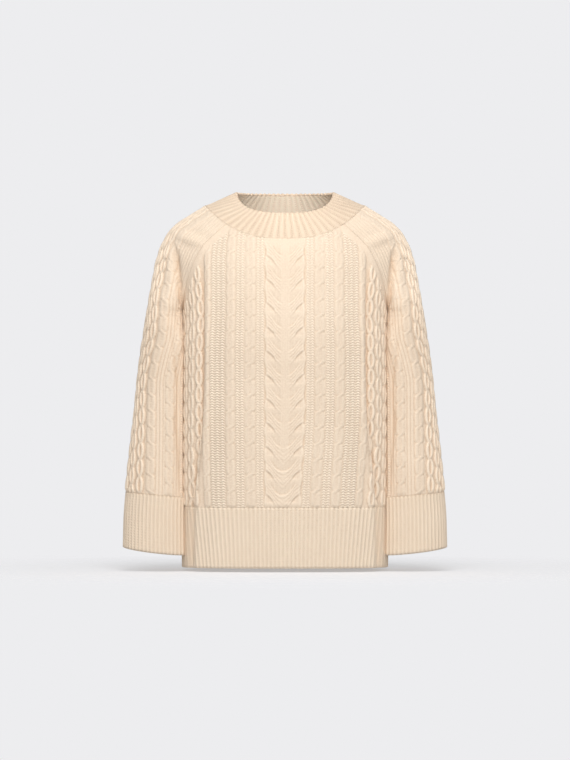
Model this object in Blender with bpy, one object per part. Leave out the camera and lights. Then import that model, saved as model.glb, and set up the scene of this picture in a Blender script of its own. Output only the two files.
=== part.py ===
"""Cable knit sweater with raglan sleeves, worn form and hollow.

Front, back and two raglan sleeves are knitted with cables, ropes and honeycomb. A ribbed
neckband, hem and cuffs finish the openings. Metres, +Z up, the front faces -Y, and the
origin is where the wearer's neck and shoulders hold the garment up.

Each piece is a wall between an outer skin, which carries the raised knitting, and a plain
inner skin. A skin is a list of courses: curves across the piece, from the hem or cuff up,
whose points are the wales. Courses with unlike wales are lofted into one surface.
"""

import math

import bmesh
import bpy
import numpy as np

# ---------------------------------------------------------------- driving dimensions
WALL = 0.0025  # knitted cloth without its raised cables
BAND_WALL = 0.0030  # neckband, which is knitted double
SEAM = 0.0002  # half the space left between two pieces at a seam
COURSE = 0.038 / 3  # height of one row of the solid: a third of a centre cable repeat

HEM_BOTTOM = -0.5660
HEM_SEAM = -0.4690  # where the hem rib meets the cabled panels
UNDERARM = -0.1650  # where side seam, sleeve seam and raglan seams meet
SIDE_Y = 0.0120  # depth of the side seams

LOWER_COURSES = 24  # hem seam to underarm
YOKE_COURSES = 7  # level courses above the underarm
NECK_COURSES = 4  # courses that bend into the neckline
RAGLAN_COURSES = YOKE_COURSES + NECK_COURSES
TOP_COURSE = LOWER_COURSES + RAGLAN_COURSES

SLEEVE_TUBE_COURSES = 23  # cuff seam to underarm
SLEEVE_CAP_COURSES = 17  # underarm to neckline
SLEEVE_TOP_COURSE = SLEEVE_TUBE_COURSES + SLEEVE_CAP_COURSES
CUFF_LENGTH = 0.0880

CABLE_HEIGHT = 0.0036
RIB_HEIGHT = 0.0014
HEM_RIBS = 73  # on each of the front and the back
CUFF_RIBS = 45
COLLAR_RIBS = 60

# Sections of the body by height: half width, depth in front and behind the side seam, and
# the exponent of the rounded-box section.
TORSO_COLUMNS = ("height", "half_width", "front", "back", "square")
TORSO = (
    (-0.5660, 0.1640, 0.108, 0.086, 3.4),
    (-0.5300, 0.1645, 0.111, 0.087, 3.4),
    (-0.4690, 0.1650, 0.116, 0.089, 3.4),
    (-0.3800, 0.1655, 0.122, 0.087, 3.3),
    (-0.2800, 0.1655, 0.127, 0.086, 3.1),
    (-0.2000, 0.1650, 0.131, 0.086, 2.9),
    (-0.1650, 0.1645, 0.130, 0.087, 2.8),
    (-0.1200, 0.1700, 0.124, 0.088, 2.6),
    (-0.0800, 0.1755, 0.115, 0.086, 2.5),
    (-0.0400, 0.1780, 0.099, 0.080, 2.4),
    (-0.0120, 0.1750, 0.086, 0.068, 2.4),
    (0.0150, 0.1700, 0.076, 0.058, 2.4),
)

# The raglan seam as seen from the front: distance from the centre by height.
RAGLAN_COLUMNS = ("height", "distance")
RAGLAN = (
    (-0.1650, 0.1645),
    (-0.1290, 0.1610),
    (-0.1080, 0.1570),
    (-0.0800, 0.1470),
    (-0.0500, 0.1300),
    (-0.0180, 0.0960),
    (0.0050, 0.0720),
    (0.0150, 0.0610),
)

# The drape fold that runs from each armpit to the hem: where its crest lies and how deep
# it is, by height.
FOLD_COLUMNS = ("height", "crest_x", "depth")
FOLD = (
    (-0.5660, 0.1400, 0.70),
    (-0.4690, 0.1380, 0.90),
    (-0.4100, 0.1325, 1.00),
    (-0.3300, 0.1245, 1.00),
    (-0.2700, 0.1215, 1.00),
    (-0.1650, 0.1215, 0.95),
    (-0.1300, 0.1215, 0.75),
    (-0.1000, 0.1215, 0.40),
    (-0.0700, 0.1215, 0.00),
    (0.0150, 0.1215, 0.00),
)
FOLD_CREST = 0.0035
FOLD_CREST_WIDTH = 0.0085
FOLD_VALLEY = 0.0065
FOLD_VALLEY_OFFSET = 0.0110
FOLD_VALLEY_WIDTH = 0.0065
BACK_FOLD_SHARE = 0.55  # the same folds behind are softer

# Neckline, where the neckband is joined on, and the neckband's free top edge.
NECK_HALF_WIDTH = 0.1275
NECK_FRONT_Z = -0.0400
NECK_BACK_Z = -0.0120
NECK_SIDE_Z = 0.0145
NECK_FRONT_RISE = 2.7
NECK_BACK_RISE = 2.2
BAND_HALF_WIDTH = 0.0780
BAND_FRONT_Y = -0.0620
BAND_BACK_Y = 0.0540
BAND_MID_Y = 0.0020
BAND_FRONT_Z = 0.0030
BAND_BACK_Z = 0.0290
BAND_SIDE_Z = 0.0315
BAND_FRONT_RISE = 5.0

# The sleeve's outer line from the neckline over the shoulder to the cuff: distance from
# the centre, height, depth.
RIDGE_COLUMNS = ("x", "z", "y")
RIDGE = (
    (0.1275, 0.0145, 0.0080),
    (0.1420, 0.0050, 0.0080),
    (0.1600, -0.0060, 0.0080),
    (0.1780, -0.0190, 0.0075),
    (0.1900, -0.0345, 0.0070),
    (0.2030, -0.0660, 0.0050),
    (0.2120, -0.1100, 0.0025),
    (0.2210, -0.1620, 0.0000),
    (0.2320, -0.2340, -0.0030),
    (0.2420, -0.3300, -0.0090),
    (0.2520, -0.4180, -0.0140),
    (0.2575, -0.4740, -0.0180),
    (0.2595, -0.5400, -0.0210),
)
RIDGE_AT_UNDERARM = -0.1570

# The sleeve tube by height of its outer line: the depths of its front and back, the depth
# of its underarm seam, and how far its rings tip down towards the body and the front.
SLEEVE_COLUMNS = ("height", "front_y", "back_y", "seam_y", "tip", "nod")
SLEEVE = (
    (-0.5400, -0.0635, 0.0225, -0.0180, 0.100, 0.110),
    (-0.4500, -0.0620, 0.0260, -0.0160, 0.090, 0.000),
    (-0.3300, -0.0595, 0.0425, -0.0060, 0.100, 0.000),
    (-0.2340, -0.0575, 0.0555, 0.0020, 0.120, 0.000),
    (-0.1570, -0.0550, 0.0670, 0.0120, 0.142, 0.000),
)
BODY_CLEARANCE = 0.0035  # between the body and the sleeve that rests beside it
FRONT_TUCK = 0.0400  # how far the sleeve's front is drawn round towards the body

# Directions in which the wall's inner skin lies at the seams where two pieces meet at an
# angle: towards the middle of the armhole, and down inside the neck.
ARMHOLE_MIDDLE = (0.1400, 0.0080, -0.0850)
NECK_INSIDE = (0.0000, 0.0050, -0.1300)

# Columns of knitting on the front and back, by distance from the centre.
CENTRE_CABLE = (0.000, 0.031)
BODY_ROPES = ((0.047, 0.064), (0.079, 0.095), (0.122, 0.135))
BODY_HONEYCOMB = (0.1365, 0.2600)
# Columns of knitting on the sleeve, by distance from its outer line.
SLEEVE_HONEYCOMB = (-0.0540, 0.0540)
SLEEVE_ROPES = ((0.0560, 0.0690), (0.0860, 0.1020))
CELL_WIDTH = 0.0180  # of the honeycomb
ROPE_REPEAT = 2 * COURSE
HORSESHOE_REPEAT = 3 * COURSE

# Wales of the solid, as distances from the centre of a panel and of a sleeve.
BODY_WALES = (
    *(0.0, 0.013, 0.026, 0.031),
    *(0.047, 0.0525, 0.0585, 0.064),
    *(0.079, 0.0845, 0.0895, 0.095),
    *(0.122, 0.1265, 0.1305, 0.135),
)
HONEYCOMB_WALE = CELL_WIDTH / 2
SLEEVE_OUTER_WALES = (
    *(0.0560, 0.0605, 0.0645, 0.0690),
    *(0.0860, 0.0915, 0.0965, 0.1020),
    0.1200,
)
NECKLINE_WALE = 0.0775  # one more, only along the neckline

CREAM = (0.905, 0.745, 0.575, 1.0)


# ---------------------------------------------------------------- small mathematics
def smooth_table(rows, at):
    """The other columns of a table at these values of its first, on a smooth curve."""
    table = np.array(rows, float)
    table = table[np.argsort(table[:, 0])]
    x, y = table[:, 0], table[:, 1:]
    slope = np.gradient(y, x, axis=0)
    at = np.clip(np.asarray(at, float), x[0], x[-1])
    i = np.clip(np.searchsorted(x, at, side="right") - 1, 0, len(x) - 2)
    step = x[i + 1] - x[i]
    t = ((at - x[i]) / step)[..., None]
    step = step[..., None]
    a, b = y[i], y[i + 1]
    ma, mb = slope[i] * step, slope[i + 1] * step
    return (
        (2 * t**3 - 3 * t**2 + 1) * a
        + (t**3 - 2 * t**2 + t) * ma
        + (3 * t**2 - 2 * t**3) * b
        + (t**3 - t**2) * mb
    )


def smooth_step(t):
    t = np.clip(t, 0.0, 1.0)
    return t * t * (3 - 2 * t)


def unit(v):
    v = np.asarray(v, float)
    return v / np.maximum(np.linalg.norm(v, axis=-1, keepdims=True), 1e-12)


def lengths_along(points):
    """Distance of each point of a polyline from its start."""
    steps = np.linalg.norm(np.diff(points, axis=0), axis=1)
    return np.concatenate([[0.0], np.cumsum(steps)])


def points_at(points, along, where):
    """Points of a polyline at these distances from its start."""
    return np.stack([np.interp(where, along, points[:, k]) for k in range(3)], axis=1)


def cubic(start, start_pull, end_pull, end, count=49):
    """A cubic curve with these end points and pulls."""
    t = np.linspace(0, 1, count)[:, None]
    near, far = start + start_pull, end + end_pull
    return (
        (1 - t) ** 3 * start
        + 3 * t * (1 - t) ** 2 * near
        + 3 * t**2 * (1 - t) * far
        + t**3 * end
    )


# ---------------------------------------------------------------- the body's form
def torso_size(z):
    """Half width, front depth, back depth and squareness at these heights."""
    return np.moveaxis(smooth_table(TORSO, z), -1, 0)


def torso_side_x(y, z):
    """Distance of the body's side from the centre plane, at a depth and height."""
    half_width, front, back, square = torso_size(z)
    depth = np.where(y < SIDE_Y, front, back)
    share = np.clip(np.abs(y - SIDE_Y) / depth, 0.0, 1.0)
    return half_width * (1 - share**square) ** (1 / square)


def raglan_x(z):
    return smooth_table(RAGLAN, z)[..., 0]


def neckline_z(x, front):
    """Height of the neckline seam on the front or the back, by distance from the centre."""
    share = np.abs(x) / NECK_HALF_WIDTH
    if front:
        return NECK_FRONT_Z + (NECK_SIDE_Z - NECK_FRONT_Z) * share**NECK_FRONT_RISE
    return NECK_BACK_Z + (NECK_SIDE_Z - NECK_BACK_Z) * share**NECK_BACK_RISE


def course_z(course, x, front):
    """Height of a course at a distance from the centre."""
    if course <= LOWER_COURSES:
        return np.full_like(x, HEM_SEAM + (UNDERARM - HEM_SEAM) * course / LOWER_COURSES)
    level = UNDERARM + min(course - LOWER_COURSES, YOKE_COURSES) * COURSE
    bend = max(course - LOWER_COURSES - YOKE_COURSES, 0) / NECK_COURSES
    return level + bend * (neckline_z(x, front) - level)


def folded(points, front):
    """The section with the drape fold's crest and valley pushed out and in."""
    along = lengths_along(points)
    crest_x, depth = np.moveaxis(smooth_table(FOLD, points[:, 2]), -1, 0)
    crest = along[np.argmax(points[:, 0] >= crest_x)]
    past_valley = (along - crest - FOLD_VALLEY_OFFSET) / FOLD_VALLEY_WIDTH
    past_crest = (along - crest) / FOLD_CREST_WIDTH
    push = FOLD_CREST * np.exp(-(past_crest**2)) - FOLD_VALLEY * np.exp(-(past_valley**2))
    push *= depth * (1.0 if front else BACK_FOLD_SHARE)
    tangent = unit(np.gradient(points[:, :2], axis=0))
    outward = np.stack([tangent[:, 1], -tangent[:, 0]], axis=1)
    if not front:
        outward = -outward
    moved = points.copy()
    moved[:, :2] += push[:, None] * outward
    return moved


def level_section(z_of_x, front, count=240):
    """A course from the centre line to the side, before a raglan seam cuts it."""
    angle = np.linspace(math.pi / 2, 0, count)
    x, z = np.zeros(count), z_of_x(np.zeros(count))
    for _ in range(6):
        half_width, front_depth, back_depth, square = torso_size(z)
        x = half_width * np.cos(angle) ** (2 / square)
        z = z_of_x(x)
    depth = -front_depth if front else back_depth
    y = SIDE_Y + depth * np.sin(angle) ** (2 / square)
    return folded(np.stack([x, y, z], axis=1), front)


def cut_at_raglan(points):
    """The course up to where it meets the raglan seam."""
    past = np.argmax(points[:, 0] >= raglan_x(points[:, 2]))
    a, b = points[past - 1], points[past]
    short_a = raglan_x(a[2]) - a[0]
    short_b = raglan_x(b[2]) - b[0]
    share = short_a / (short_a - short_b)
    return np.vstack([points[:past], a + share * (b - a)])


def torso_course(course, front):
    """The half of a course on the +X side, from the centre line to its side or raglan seam."""
    points = level_section(lambda x: course_z(course, x, front), front)
    if course > LOWER_COURSES + 1e-6:
        points = cut_at_raglan(points)
    return points, lengths_along(points)


def raglan_corners(front):
    """Where each course from the underarm to the neckline meets the raglan seam."""
    courses = range(LOWER_COURSES, TOP_COURSE + 1)
    return np.array([torso_course(c, front)[0][-1] for c in courses])


CORNERS = {front: raglan_corners(front) for front in (True, False)}


def raglan_point(step, front):
    """A point of the raglan seam on the +X side, between its corners on a straight line."""
    corners = CORNERS[front]
    at = np.arange(len(corners))
    return np.array([np.interp(step, at, corners[:, k]) for k in range(3)])


def armhole_inward(point):
    """The way the inner skin lies at a raglan seam."""
    return unit(np.array(ARMHOLE_MIDDLE) - point)


def raglan_apart(step, front):
    """The unit vector across the raglan seam, towards the body."""
    low, high = max(step - 0.5, 0), min(step + 0.5, RAGLAN_COURSES)
    along = raglan_point(high, front) - raglan_point(low, front)
    across = unit(np.cross(along, armhole_inward(raglan_point(step, front))))
    return across if across[0] < 0 else -across


def neck_inward(point):
    return unit(np.array(NECK_INSIDE) - point)


# ---------------------------------------------------------------- the sleeve's form
def ridge_curve():
    """The sleeve's outer line as a dense smooth polyline, with its lengths."""
    table = np.array(RIDGE)
    chord = lengths_along(table)
    rows = np.column_stack([chord, table])
    dense = smooth_table(rows, np.linspace(0, chord[-1], 600))
    points = dense[:, [0, 2, 1]]
    return points, lengths_along(points)


RIDGE_POINTS, RIDGE_LENGTHS = ridge_curve()
CAP_LENGTH = float(np.interp(-RIDGE_AT_UNDERARM, -RIDGE_POINTS[:, 2], RIDGE_LENGTHS))


def ridge_at(course):
    """The outer line's point on a sleeve course, counted from the cuff seam."""
    if course >= SLEEVE_TUBE_COURSES:
        share = (SLEEVE_TOP_COURSE - course) / SLEEVE_CAP_COURSES
        length = CAP_LENGTH * share
    else:
        length = CAP_LENGTH + (SLEEVE_TUBE_COURSES - course) * COURSE
    return points_at(RIDGE_POINTS, RIDGE_LENGTHS, np.array([length]))[0]


def raglan_step(course):
    """How far up the raglan seam, in body courses, a sleeve course ends."""
    risen = course - SLEEVE_TUBE_COURSES
    whole_steps = 2 * RAGLAN_COURSES - SLEEVE_CAP_COURSES
    return risen if risen <= whole_steps else whole_steps + (risen - whole_steps) / 2


def clear_of_body(points, ridge, clearance, share):
    """Points moved out until they are this far beside the body, less so by the ridge."""
    least = torso_side_x(points[:, 1], points[:, 2]) + clearance
    over = points[:, 0] - least
    soft = 0.004
    push = 0.5 * (np.sqrt(over**2 + soft**2) - over)
    near_body = smooth_step((ridge[0] - points[:, 0]) / (0.6 * (ridge[0] - points[-1, 0])))
    moved = points.copy()
    moved[:, 0] += share * near_body * push
    return moved


def ring_pull(end, depth):
    """The pull at the end of a half ring that makes the ring reach to this depth."""
    return np.array([0.0, (depth - end[1]) * 4 / 3, 0.0])


def sleeve_tube_half(course, front):
    """Half of a ring of the sleeve below the underarm, from the outer line to its seam."""
    ridge = ridge_at(course)
    front_y, back_y, seam_y, tip, nod = smooth_table(SLEEVE, ridge[2])
    depth = front_y if front else back_y
    depth_below = UNDERARM - ridge[2]
    clearance = BODY_CLEARANCE * float(smooth_step(depth_below / COURSE))
    seam_x = torso_side_x(seam_y, ridge[2]) + 1.5 * clearance
    seam = np.array([seam_x, seam_y, ridge[2]])
    seam_pull = ring_pull(seam, depth)
    if front:
        seam_pull[0] -= FRONT_TUCK * float(smooth_step(depth_below / (4 * COURSE)))
    points = cubic(ridge, ring_pull(ridge, depth), seam_pull, seam)
    points = clear_of_body(points, ridge, clearance, 1.0)
    points[:, 2] = ridge[2] - tip * (ridge[0] - points[:, 0]) - nod * (ridge[1] - points[:, 1])
    return points


def sleeve_cap_half(course, front):
    """Half of a course of the sleeve above the underarm, from its outer line to a raglan."""
    ridge = ridge_at(course)
    step = raglan_step(course)
    seam = raglan_point(step, front)
    body_points, _ = torso_course(LOWER_COURSES + max(step, 0.05), front)
    onward = unit(body_points[-1] - body_points[-6])
    front_y, back_y = smooth_table(SLEEVE, RIDGE_AT_UNDERARM)[:2]
    depth = front_y if front else back_y
    gap = np.abs(seam - ridge)
    over_ridge = np.array([0.0, 0.60 * gap[1] * (-1 if front else 1), 0.0])
    over_seam = 0.55 * (gap[0] + 0.35 * gap[2]) * onward
    low = float(smooth_step((SLEEVE_TUBE_COURSES + 9 - course) / 9))
    ridge_pull = low * ring_pull(ridge, depth) + (1 - low) * over_ridge
    seam_pull = low * ring_pull(seam, depth) + (1 - low) * over_seam
    points = clear_of_body(cubic(ridge, ridge_pull, seam_pull, seam), ridge, 0.0, low**3)
    points[-1] = seam
    return points


def sleeve_half(course, front):
    """The half of a sleeve course on one side of its outer line, and its lengths."""
    if course > SLEEVE_TUBE_COURSES:
        points = sleeve_cap_half(course, front)
    else:
        points = sleeve_tube_half(course, front)
    return points, lengths_along(points)


# ---------------------------------------------------------------- raised knitting
def strand(offset, half_width):
    """Height profile across one strand, 1 on its crest and 0 at its edges."""
    return np.sqrt(np.clip(1 - (offset / half_width) ** 2, 0.0, 1.0))


def rope(x, y, low, high):
    """Two strands that cross over each other once in every repeat."""
    middle, sway = (low + high) / 2, (high - low) / 4
    turn = math.pi * (y / ROPE_REPEAT + 0.25)
    first = middle + sway * np.cos(turn)
    second = middle - sway * np.cos(turn)
    width = sway * 1.15
    lift = 0.22 * np.sin(turn)
    over = (0.80 + lift) * strand(x - first, width)
    under = (0.80 - lift) * strand(x - second, width)
    return np.maximum(over, under)


def honeycomb(x, y, start):
    """Strands that part round a cell and meet again beside the next one."""
    pitch = CELL_WIDTH / 2
    sway = CELL_WIDTH / 4
    height = np.zeros_like(x)
    nearest = np.floor((x - start) / pitch)
    for shift in (-1, 0, 1, 2):
        number = nearest + shift
        side = np.where(number % 2 == 0, 1.0, -1.0)
        line = start + number * pitch + side * sway * np.cos(math.pi * y / COURSE)
        height = np.maximum(height, strand(x - line, CELL_WIDTH * 0.24))
    return height


def horseshoe(x, y):
    """The centre cable: thick strands that run down and inwards, one nested in the next."""
    lean = 2 * COURSE * (x / 0.026 - 1)
    turn = 2 * math.pi * (y - lean) / HORSESHOE_REPEAT
    return (0.6 + 0.4 * np.cos(turn)) * strand(np.maximum(x - 0.024, 0.0), 0.007)


def body_relief(x, y):
    """Height of the knitting on a panel, by distance from its centre and height."""
    x = np.abs(x)
    height = np.where(x < CENTRE_CABLE[1], horseshoe(x, y), 0.0)
    for low, high in BODY_ROPES:
        inside = (x > low) & (x < high)
        height = np.where(inside, rope(x, y, low, high), height)
    inside = x >= BODY_HONEYCOMB[0]
    return CABLE_HEIGHT * np.where(inside, 0.9 * honeycomb(x, y, BODY_HONEYCOMB[0]), height)


def sleeve_relief(x, y):
    height = np.where(np.abs(x) <= SLEEVE_HONEYCOMB[1], honeycomb(x, y, -CELL_WIDTH / 4), 0.0)
    x = np.abs(x)
    for low, high in SLEEVE_ROPES:
        inside = (x > low) & (x < high)
        height = np.where(inside, rope(x, y, low, high), height)
    return CABLE_HEIGHT * height


# ---------------------------------------------------------------- skins and walls
class Skin:
    """Courses of points across a piece, each point with its wale's key."""

    def __init__(self):
        self.courses, self.keys, self.levels = [], [], []

    def add(self, level, points, keys):
        self.levels.append(level)
        self.courses.append(np.asarray(points, float))
        self.keys.append(np.asarray(keys, float))


def kept_wales(wales, end):
    """The wales that a course reaches before its end, none crowding the end."""
    wales = np.asarray(wales, float)
    inside = wales[wales < end - 1e-6]
    while len(inside) > 1 and end - inside[-1] < 0.45 * (inside[-1] - inside[-2]):
        inside = inside[:-1]
    return np.append(inside, end)


def loft(bm, low, high, low_keys, high_keys, rises=None):
    """Faces between two courses: quads where their wales agree, triangles elsewhere.

    rises says of a cell between two wales whether it folds from its lower left corner to
    its upper right one.
    """
    i = j = 0
    last_i, last_j = len(low) - 1, len(high) - 1
    while i < last_i or j < last_j:
        both = i < last_i and j < last_j
        if both and abs(low_keys[i + 1] - high_keys[j + 1]) < 1e-7:
            corners = (low[i], low[i + 1], high[j + 1], high[j])
            if rises is not None:
                if rises(low_keys[i], low_keys[i + 1]):
                    bm.faces.new((low[i], high[j + 1], high[j]))
                    corners = (low[i], low[i + 1], high[j + 1])
                else:
                    bm.faces.new((low[i + 1], high[j + 1], high[j]))
                    corners = (low[i], low[i + 1], high[j])
            i, j = i + 1, j + 1
        elif j == last_j or (
            i < last_i
            and low_keys[i] + low_keys[i + 1] <= high_keys[j] + high_keys[j + 1]
        ):
            corners = (low[i], low[i + 1], high[j])
            i += 1
        else:
            corners = (low[i], high[j + 1], high[j])
            j += 1
        unlike = list(dict.fromkeys(corners))
        if len(unlike) > 2 and not bm.faces.get(unlike):
            bm.faces.new(unlike)


def skin_vertices(bm, skin, closed_below):
    """A vertex for each point. Where a course closes on itself its ends share one vertex."""
    made = []
    for level, points in zip(skin.levels, skin.courses):
        course = [bm.verts.new(p) for p in points[:-1]]
        closed = closed_below is not None and level <= closed_below + 1e-6
        course.append(course[0] if closed else bm.verts.new(points[-1]))
        made.append(course)
    return made


def skin_normals(skin, closed_below):
    """Outward normals at the points of a skin."""
    bm = bmesh.new()
    made = skin_vertices(bm, skin, closed_below)
    for k in range(len(made) - 1):
        loft(bm, made[k], made[k + 1], skin.keys[k], skin.keys[k + 1])
    bmesh.ops.recalc_face_normals(bm, faces=bm.faces)
    bm.normal_update()
    normals = [np.array([v.normal for v in course]) for course in made]
    bm.free()
    centre = np.mean(np.vstack(skin.courses), axis=0)
    away = sum(float(np.sum(n * (p - centre))) for n, p in zip(normals, skin.courses))
    return normals if away > 0 else [-n for n in normals]


def fold_rule(relief, low_level, high_level):
    """Says how a cell between two courses folds, to lie closest to the knitting."""
    low, high = low_level * COURSE, high_level * COURSE

    def rises(left, right):
        x = np.array([left, right, left, right, (left + right) / 2])
        height = relief(x, np.array([low, low, high, high, (low + high) / 2]))
        rising, falling = (height[0] + height[3]) / 2, (height[1] + height[2]) / 2
        return abs(rising - height[4]) <= abs(falling - height[4])

    return rises


def wall_object(name, outer, inner, closed_below, material, relief=None):
    """One closed solid between an outer and an inner skin."""
    bm = bmesh.new()
    skins = []
    for skin in (outer, inner):
        made = skin_vertices(bm, skin, closed_below)
        for k in range(len(made) - 1):
            rises = None
            if skin is outer and relief is not None:
                rises = fold_rule(relief, skin.levels[k], skin.levels[k + 1])
            loft(bm, made[k], made[k + 1], skin.keys[k], skin.keys[k + 1], rises)
        skins.append(made)
    for end in (0, -1):
        loft(bm, skins[0][end], skins[1][end], outer.keys[end], inner.keys[end])
    open_from = -math.inf if closed_below is None else closed_below
    for edge in (0, -1):
        chains, levels = [], []
        for skin, made in ((outer, skins[0]), (inner, skins[1])):
            kept = [k for k, level in enumerate(skin.levels) if level >= open_from - 1e-6]
            chains.append([made[k][edge] for k in kept])
            levels.append([skin.levels[k] for k in kept])
        if len(chains[0]) > 1:
            loft(bm, chains[0], chains[1], levels[0], levels[1])
    bmesh.ops.recalc_face_normals(bm, faces=bm.faces)
    if bm.calc_volume(signed=True) < 0:
        bmesh.ops.reverse_faces(bm, faces=bm.faces)
    bmesh.ops.triangulate(bm, faces=bm.faces, quad_method="SHORT_EDGE")
    mesh = bpy.data.meshes.new(name)
    bm.to_mesh(mesh)
    bm.free()
    mesh.materials.append(material)
    mesh.shade_smooth()
    mesh.set_sharp_from_angle(angle=math.radians(50))
    made = bpy.data.objects.new(name, mesh)
    return made


def knit_material(name, shade):
    made = bpy.data.materials.new(name)
    made.use_nodes = True
    shader = made.node_tree.nodes["Principled BSDF"]
    shader.inputs["Base Color"].default_value = tuple(c * shade for c in CREAM[:3]) + (1.0,)
    shader.inputs["Roughness"].default_value = 0.9
    shader.inputs["Metallic"].default_value = 0.0
    return made


# ---------------------------------------------------------------- front and back
def panel_wales(reach):
    """Wale distances of a panel out to this distance from its centre."""
    honeycomb_wales = np.arange(BODY_HONEYCOMB[0] + CELL_WIDTH / 4, reach, HONEYCOMB_WALE)
    return np.concatenate([BODY_WALES, honeycomb_wales])


def panel_course(course, front, wales, reference):
    """A whole course of a panel from seam to seam, and its keys."""
    points, along = torso_course(course, front)
    scale = along[-1] / reference if course <= LOWER_COURSES else 1.0
    half_keys = kept_wales(wales, along[-1] / scale)
    half = points_at(points, along, half_keys * scale)
    mirrored = half[:0:-1] * (-1, 1, 1)
    return np.vstack([mirrored, half]), np.concatenate([-half_keys[:0:-1], half_keys])


def panel_edges(points, course, front, inner):
    """Moves a course's points clear of the seams, and its inner skin's ends inwards."""
    moved = points.copy()
    for end, mirror in ((0, -1), (-1, 1)):
        flip = np.array([mirror, 1, 1])
        point = points[end] * flip
        if course > LOWER_COURSES:
            step = course - LOWER_COURSES
            shift = SEAM * raglan_apart(step, front)
            inward = armhole_inward(point)
        else:
            shift = np.array([0, -SEAM if front else SEAM, 0.0])
            inward = np.array([-1.0, 0, 0])
        if course == LOWER_COURSES:
            shift = shift + SEAM * raglan_apart(0, front)
            inward = unit(armhole_inward(point) + inward)
        moved[end] = (point + shift + (WALL * inward if inner else 0)) * flip
    return moved


def top_and_bottom(skin, inner):
    """Keeps a panel's first course above the hem seam and its last below the neckline."""
    skin.courses[0][:, 2] += SEAM
    down = unit(skin.courses[-2].mean(axis=0) - skin.courses[-1].mean(axis=0))
    skin.courses[-1] += SEAM * down
    if inner:
        first = skin.courses[0]
        for points, is_neck in ((first, False), (skin.courses[-1], True)):
            if is_neck:
                points[1:-1] += WALL * neck_inward(points[1:-1])
            else:
                points[1:-1] += WALL * level_inward(points)[1:-1]


def level_inward(points):
    """The way in, at each point of a level course, square to the course."""
    tangent = unit(np.gradient(points[:, :2], axis=0))
    normal = np.stack([-tangent[:, 1], tangent[:, 0]], axis=1)
    centre = np.array([0.0, SIDE_Y])
    turned = np.sum(normal * (centre - points[:, :2]), axis=1, keepdims=True)
    normal = np.where(turned < 0, -normal, normal)
    return np.column_stack([normal, np.zeros(len(points))])


def raised(skin, relief, normals, border):
    """Moves a skin's points out by its knitting.

    border gives for a course the width beside its seams in which the knitting dies away.
    """
    last = len(skin.courses) - 1
    for k, (points, keys, level) in enumerate(zip(skin.courses, skin.keys, skin.levels)):
        if k in (0, last):
            continue
        height = relief(keys, np.full_like(keys, level * COURSE))
        if border(level) > 0:
            inset = np.minimum(keys - keys[0], keys[-1] - keys)
            height = height * smooth_step(inset / border(level))
        points += height[:, None] * normals[k]


def panel(name, front, material):
    """The front or the back, from the hem seam to the neckline."""
    reference = torso_course(LOWER_COURSES, front)[1][-1]
    wales = panel_wales(reference + 0.05)
    fold_zone = [0.120, 0.128, 0.134, 0.140, 0.146, 0.153, 0.161, 0.175]
    folded_wales = np.array([0.0, 0.026, 0.052, 0.079, 0.105, *fold_zone, 0.200, 0.225])
    yoke_wales = np.arange(0.0, 0.250, 0.035)
    outer, inner = Skin(), Skin()
    for course in range(TOP_COURSE + 1):
        used = wales
        if course == TOP_COURSE:
            used = np.sort(np.concatenate([wales, [0.019, 0.039, 0.0715, 0.104, 0.113]]))
        points, keys = panel_course(course, front, used, reference)
        outer.add(course, points, keys)
    for course in [*range(0, LOWER_COURSES, 4), *range(LOWER_COURSES, TOP_COURSE + 1)]:
        used = folded_wales if course <= LOWER_COURSES + 4 else yoke_wales
        if course == TOP_COURSE:
            used = outer.keys[-1][outer.keys[-1] >= 0][:-1]
        points, keys = panel_course(course, front, used, reference)
        inner.add(course, points, keys)
    raised(
        outer,
        body_relief,
        skin_normals(outer, None),
        lambda level: 0.030 if abs(level - LOWER_COURSES) < 3 else 0.010,
    )
    for k, normals in enumerate(skin_normals(inner, None)):
        if 0 < k < len(inner.courses) - 1:
            inner.courses[k] -= WALL * normals
    for skin, is_inner in ((outer, False), (inner, True)):
        for k, level in enumerate(skin.levels):
            edge = torso_course(level, front)[0][-1]
            skin.courses[k][-1] = edge
            skin.courses[k][0] = edge * (-1, 1, 1)
            skin.courses[k] = panel_edges(skin.courses[k], level, front, is_inner)
        top_and_bottom(skin, is_inner)
    return wall_object(name, outer, inner, None, material, body_relief)


# ---------------------------------------------------------------- sleeves
def sleeve_wales():
    cells = np.arange(0, SLEEVE_HONEYCOMB[1] + 1e-6, HONEYCOMB_WALE)
    return np.concatenate([cells, SLEEVE_OUTER_WALES])


def sleeve_course(course, wales, reference):
    """A whole sleeve course on the +X side, from the front seam over to the back seam."""
    halves = []
    for front in (True, False):
        points, along = sleeve_half(course, front)
        scale = along[-1] / reference[front] if course <= SLEEVE_TUBE_COURSES else 1.0
        keys = kept_wales(wales, along[-1] / scale)
        halves.append((points_at(points, along, keys * scale), keys))
    (front_points, front_keys), (back_points, back_keys) = halves
    points = np.vstack([front_points[:0:-1], back_points])
    return points, np.concatenate([-front_keys[:0:-1], back_keys])


def ring_inward(points):
    """The way in, at each point of a ring that closes on itself, within its plane."""
    ring = points[:-1]
    tangent = unit(np.roll(ring, -1, axis=0) - np.roll(ring, 1, axis=0))
    plane = np.sum(np.cross(ring, np.roll(ring, -1, axis=0)), axis=0)
    normal = unit(np.cross(tangent, unit(plane)))
    turned = np.sum(normal * (ring.mean(axis=0) - ring), axis=1, keepdims=True)
    normal = np.where(turned < 0, -normal, normal)
    return np.vstack([normal, normal[:1]])


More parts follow.
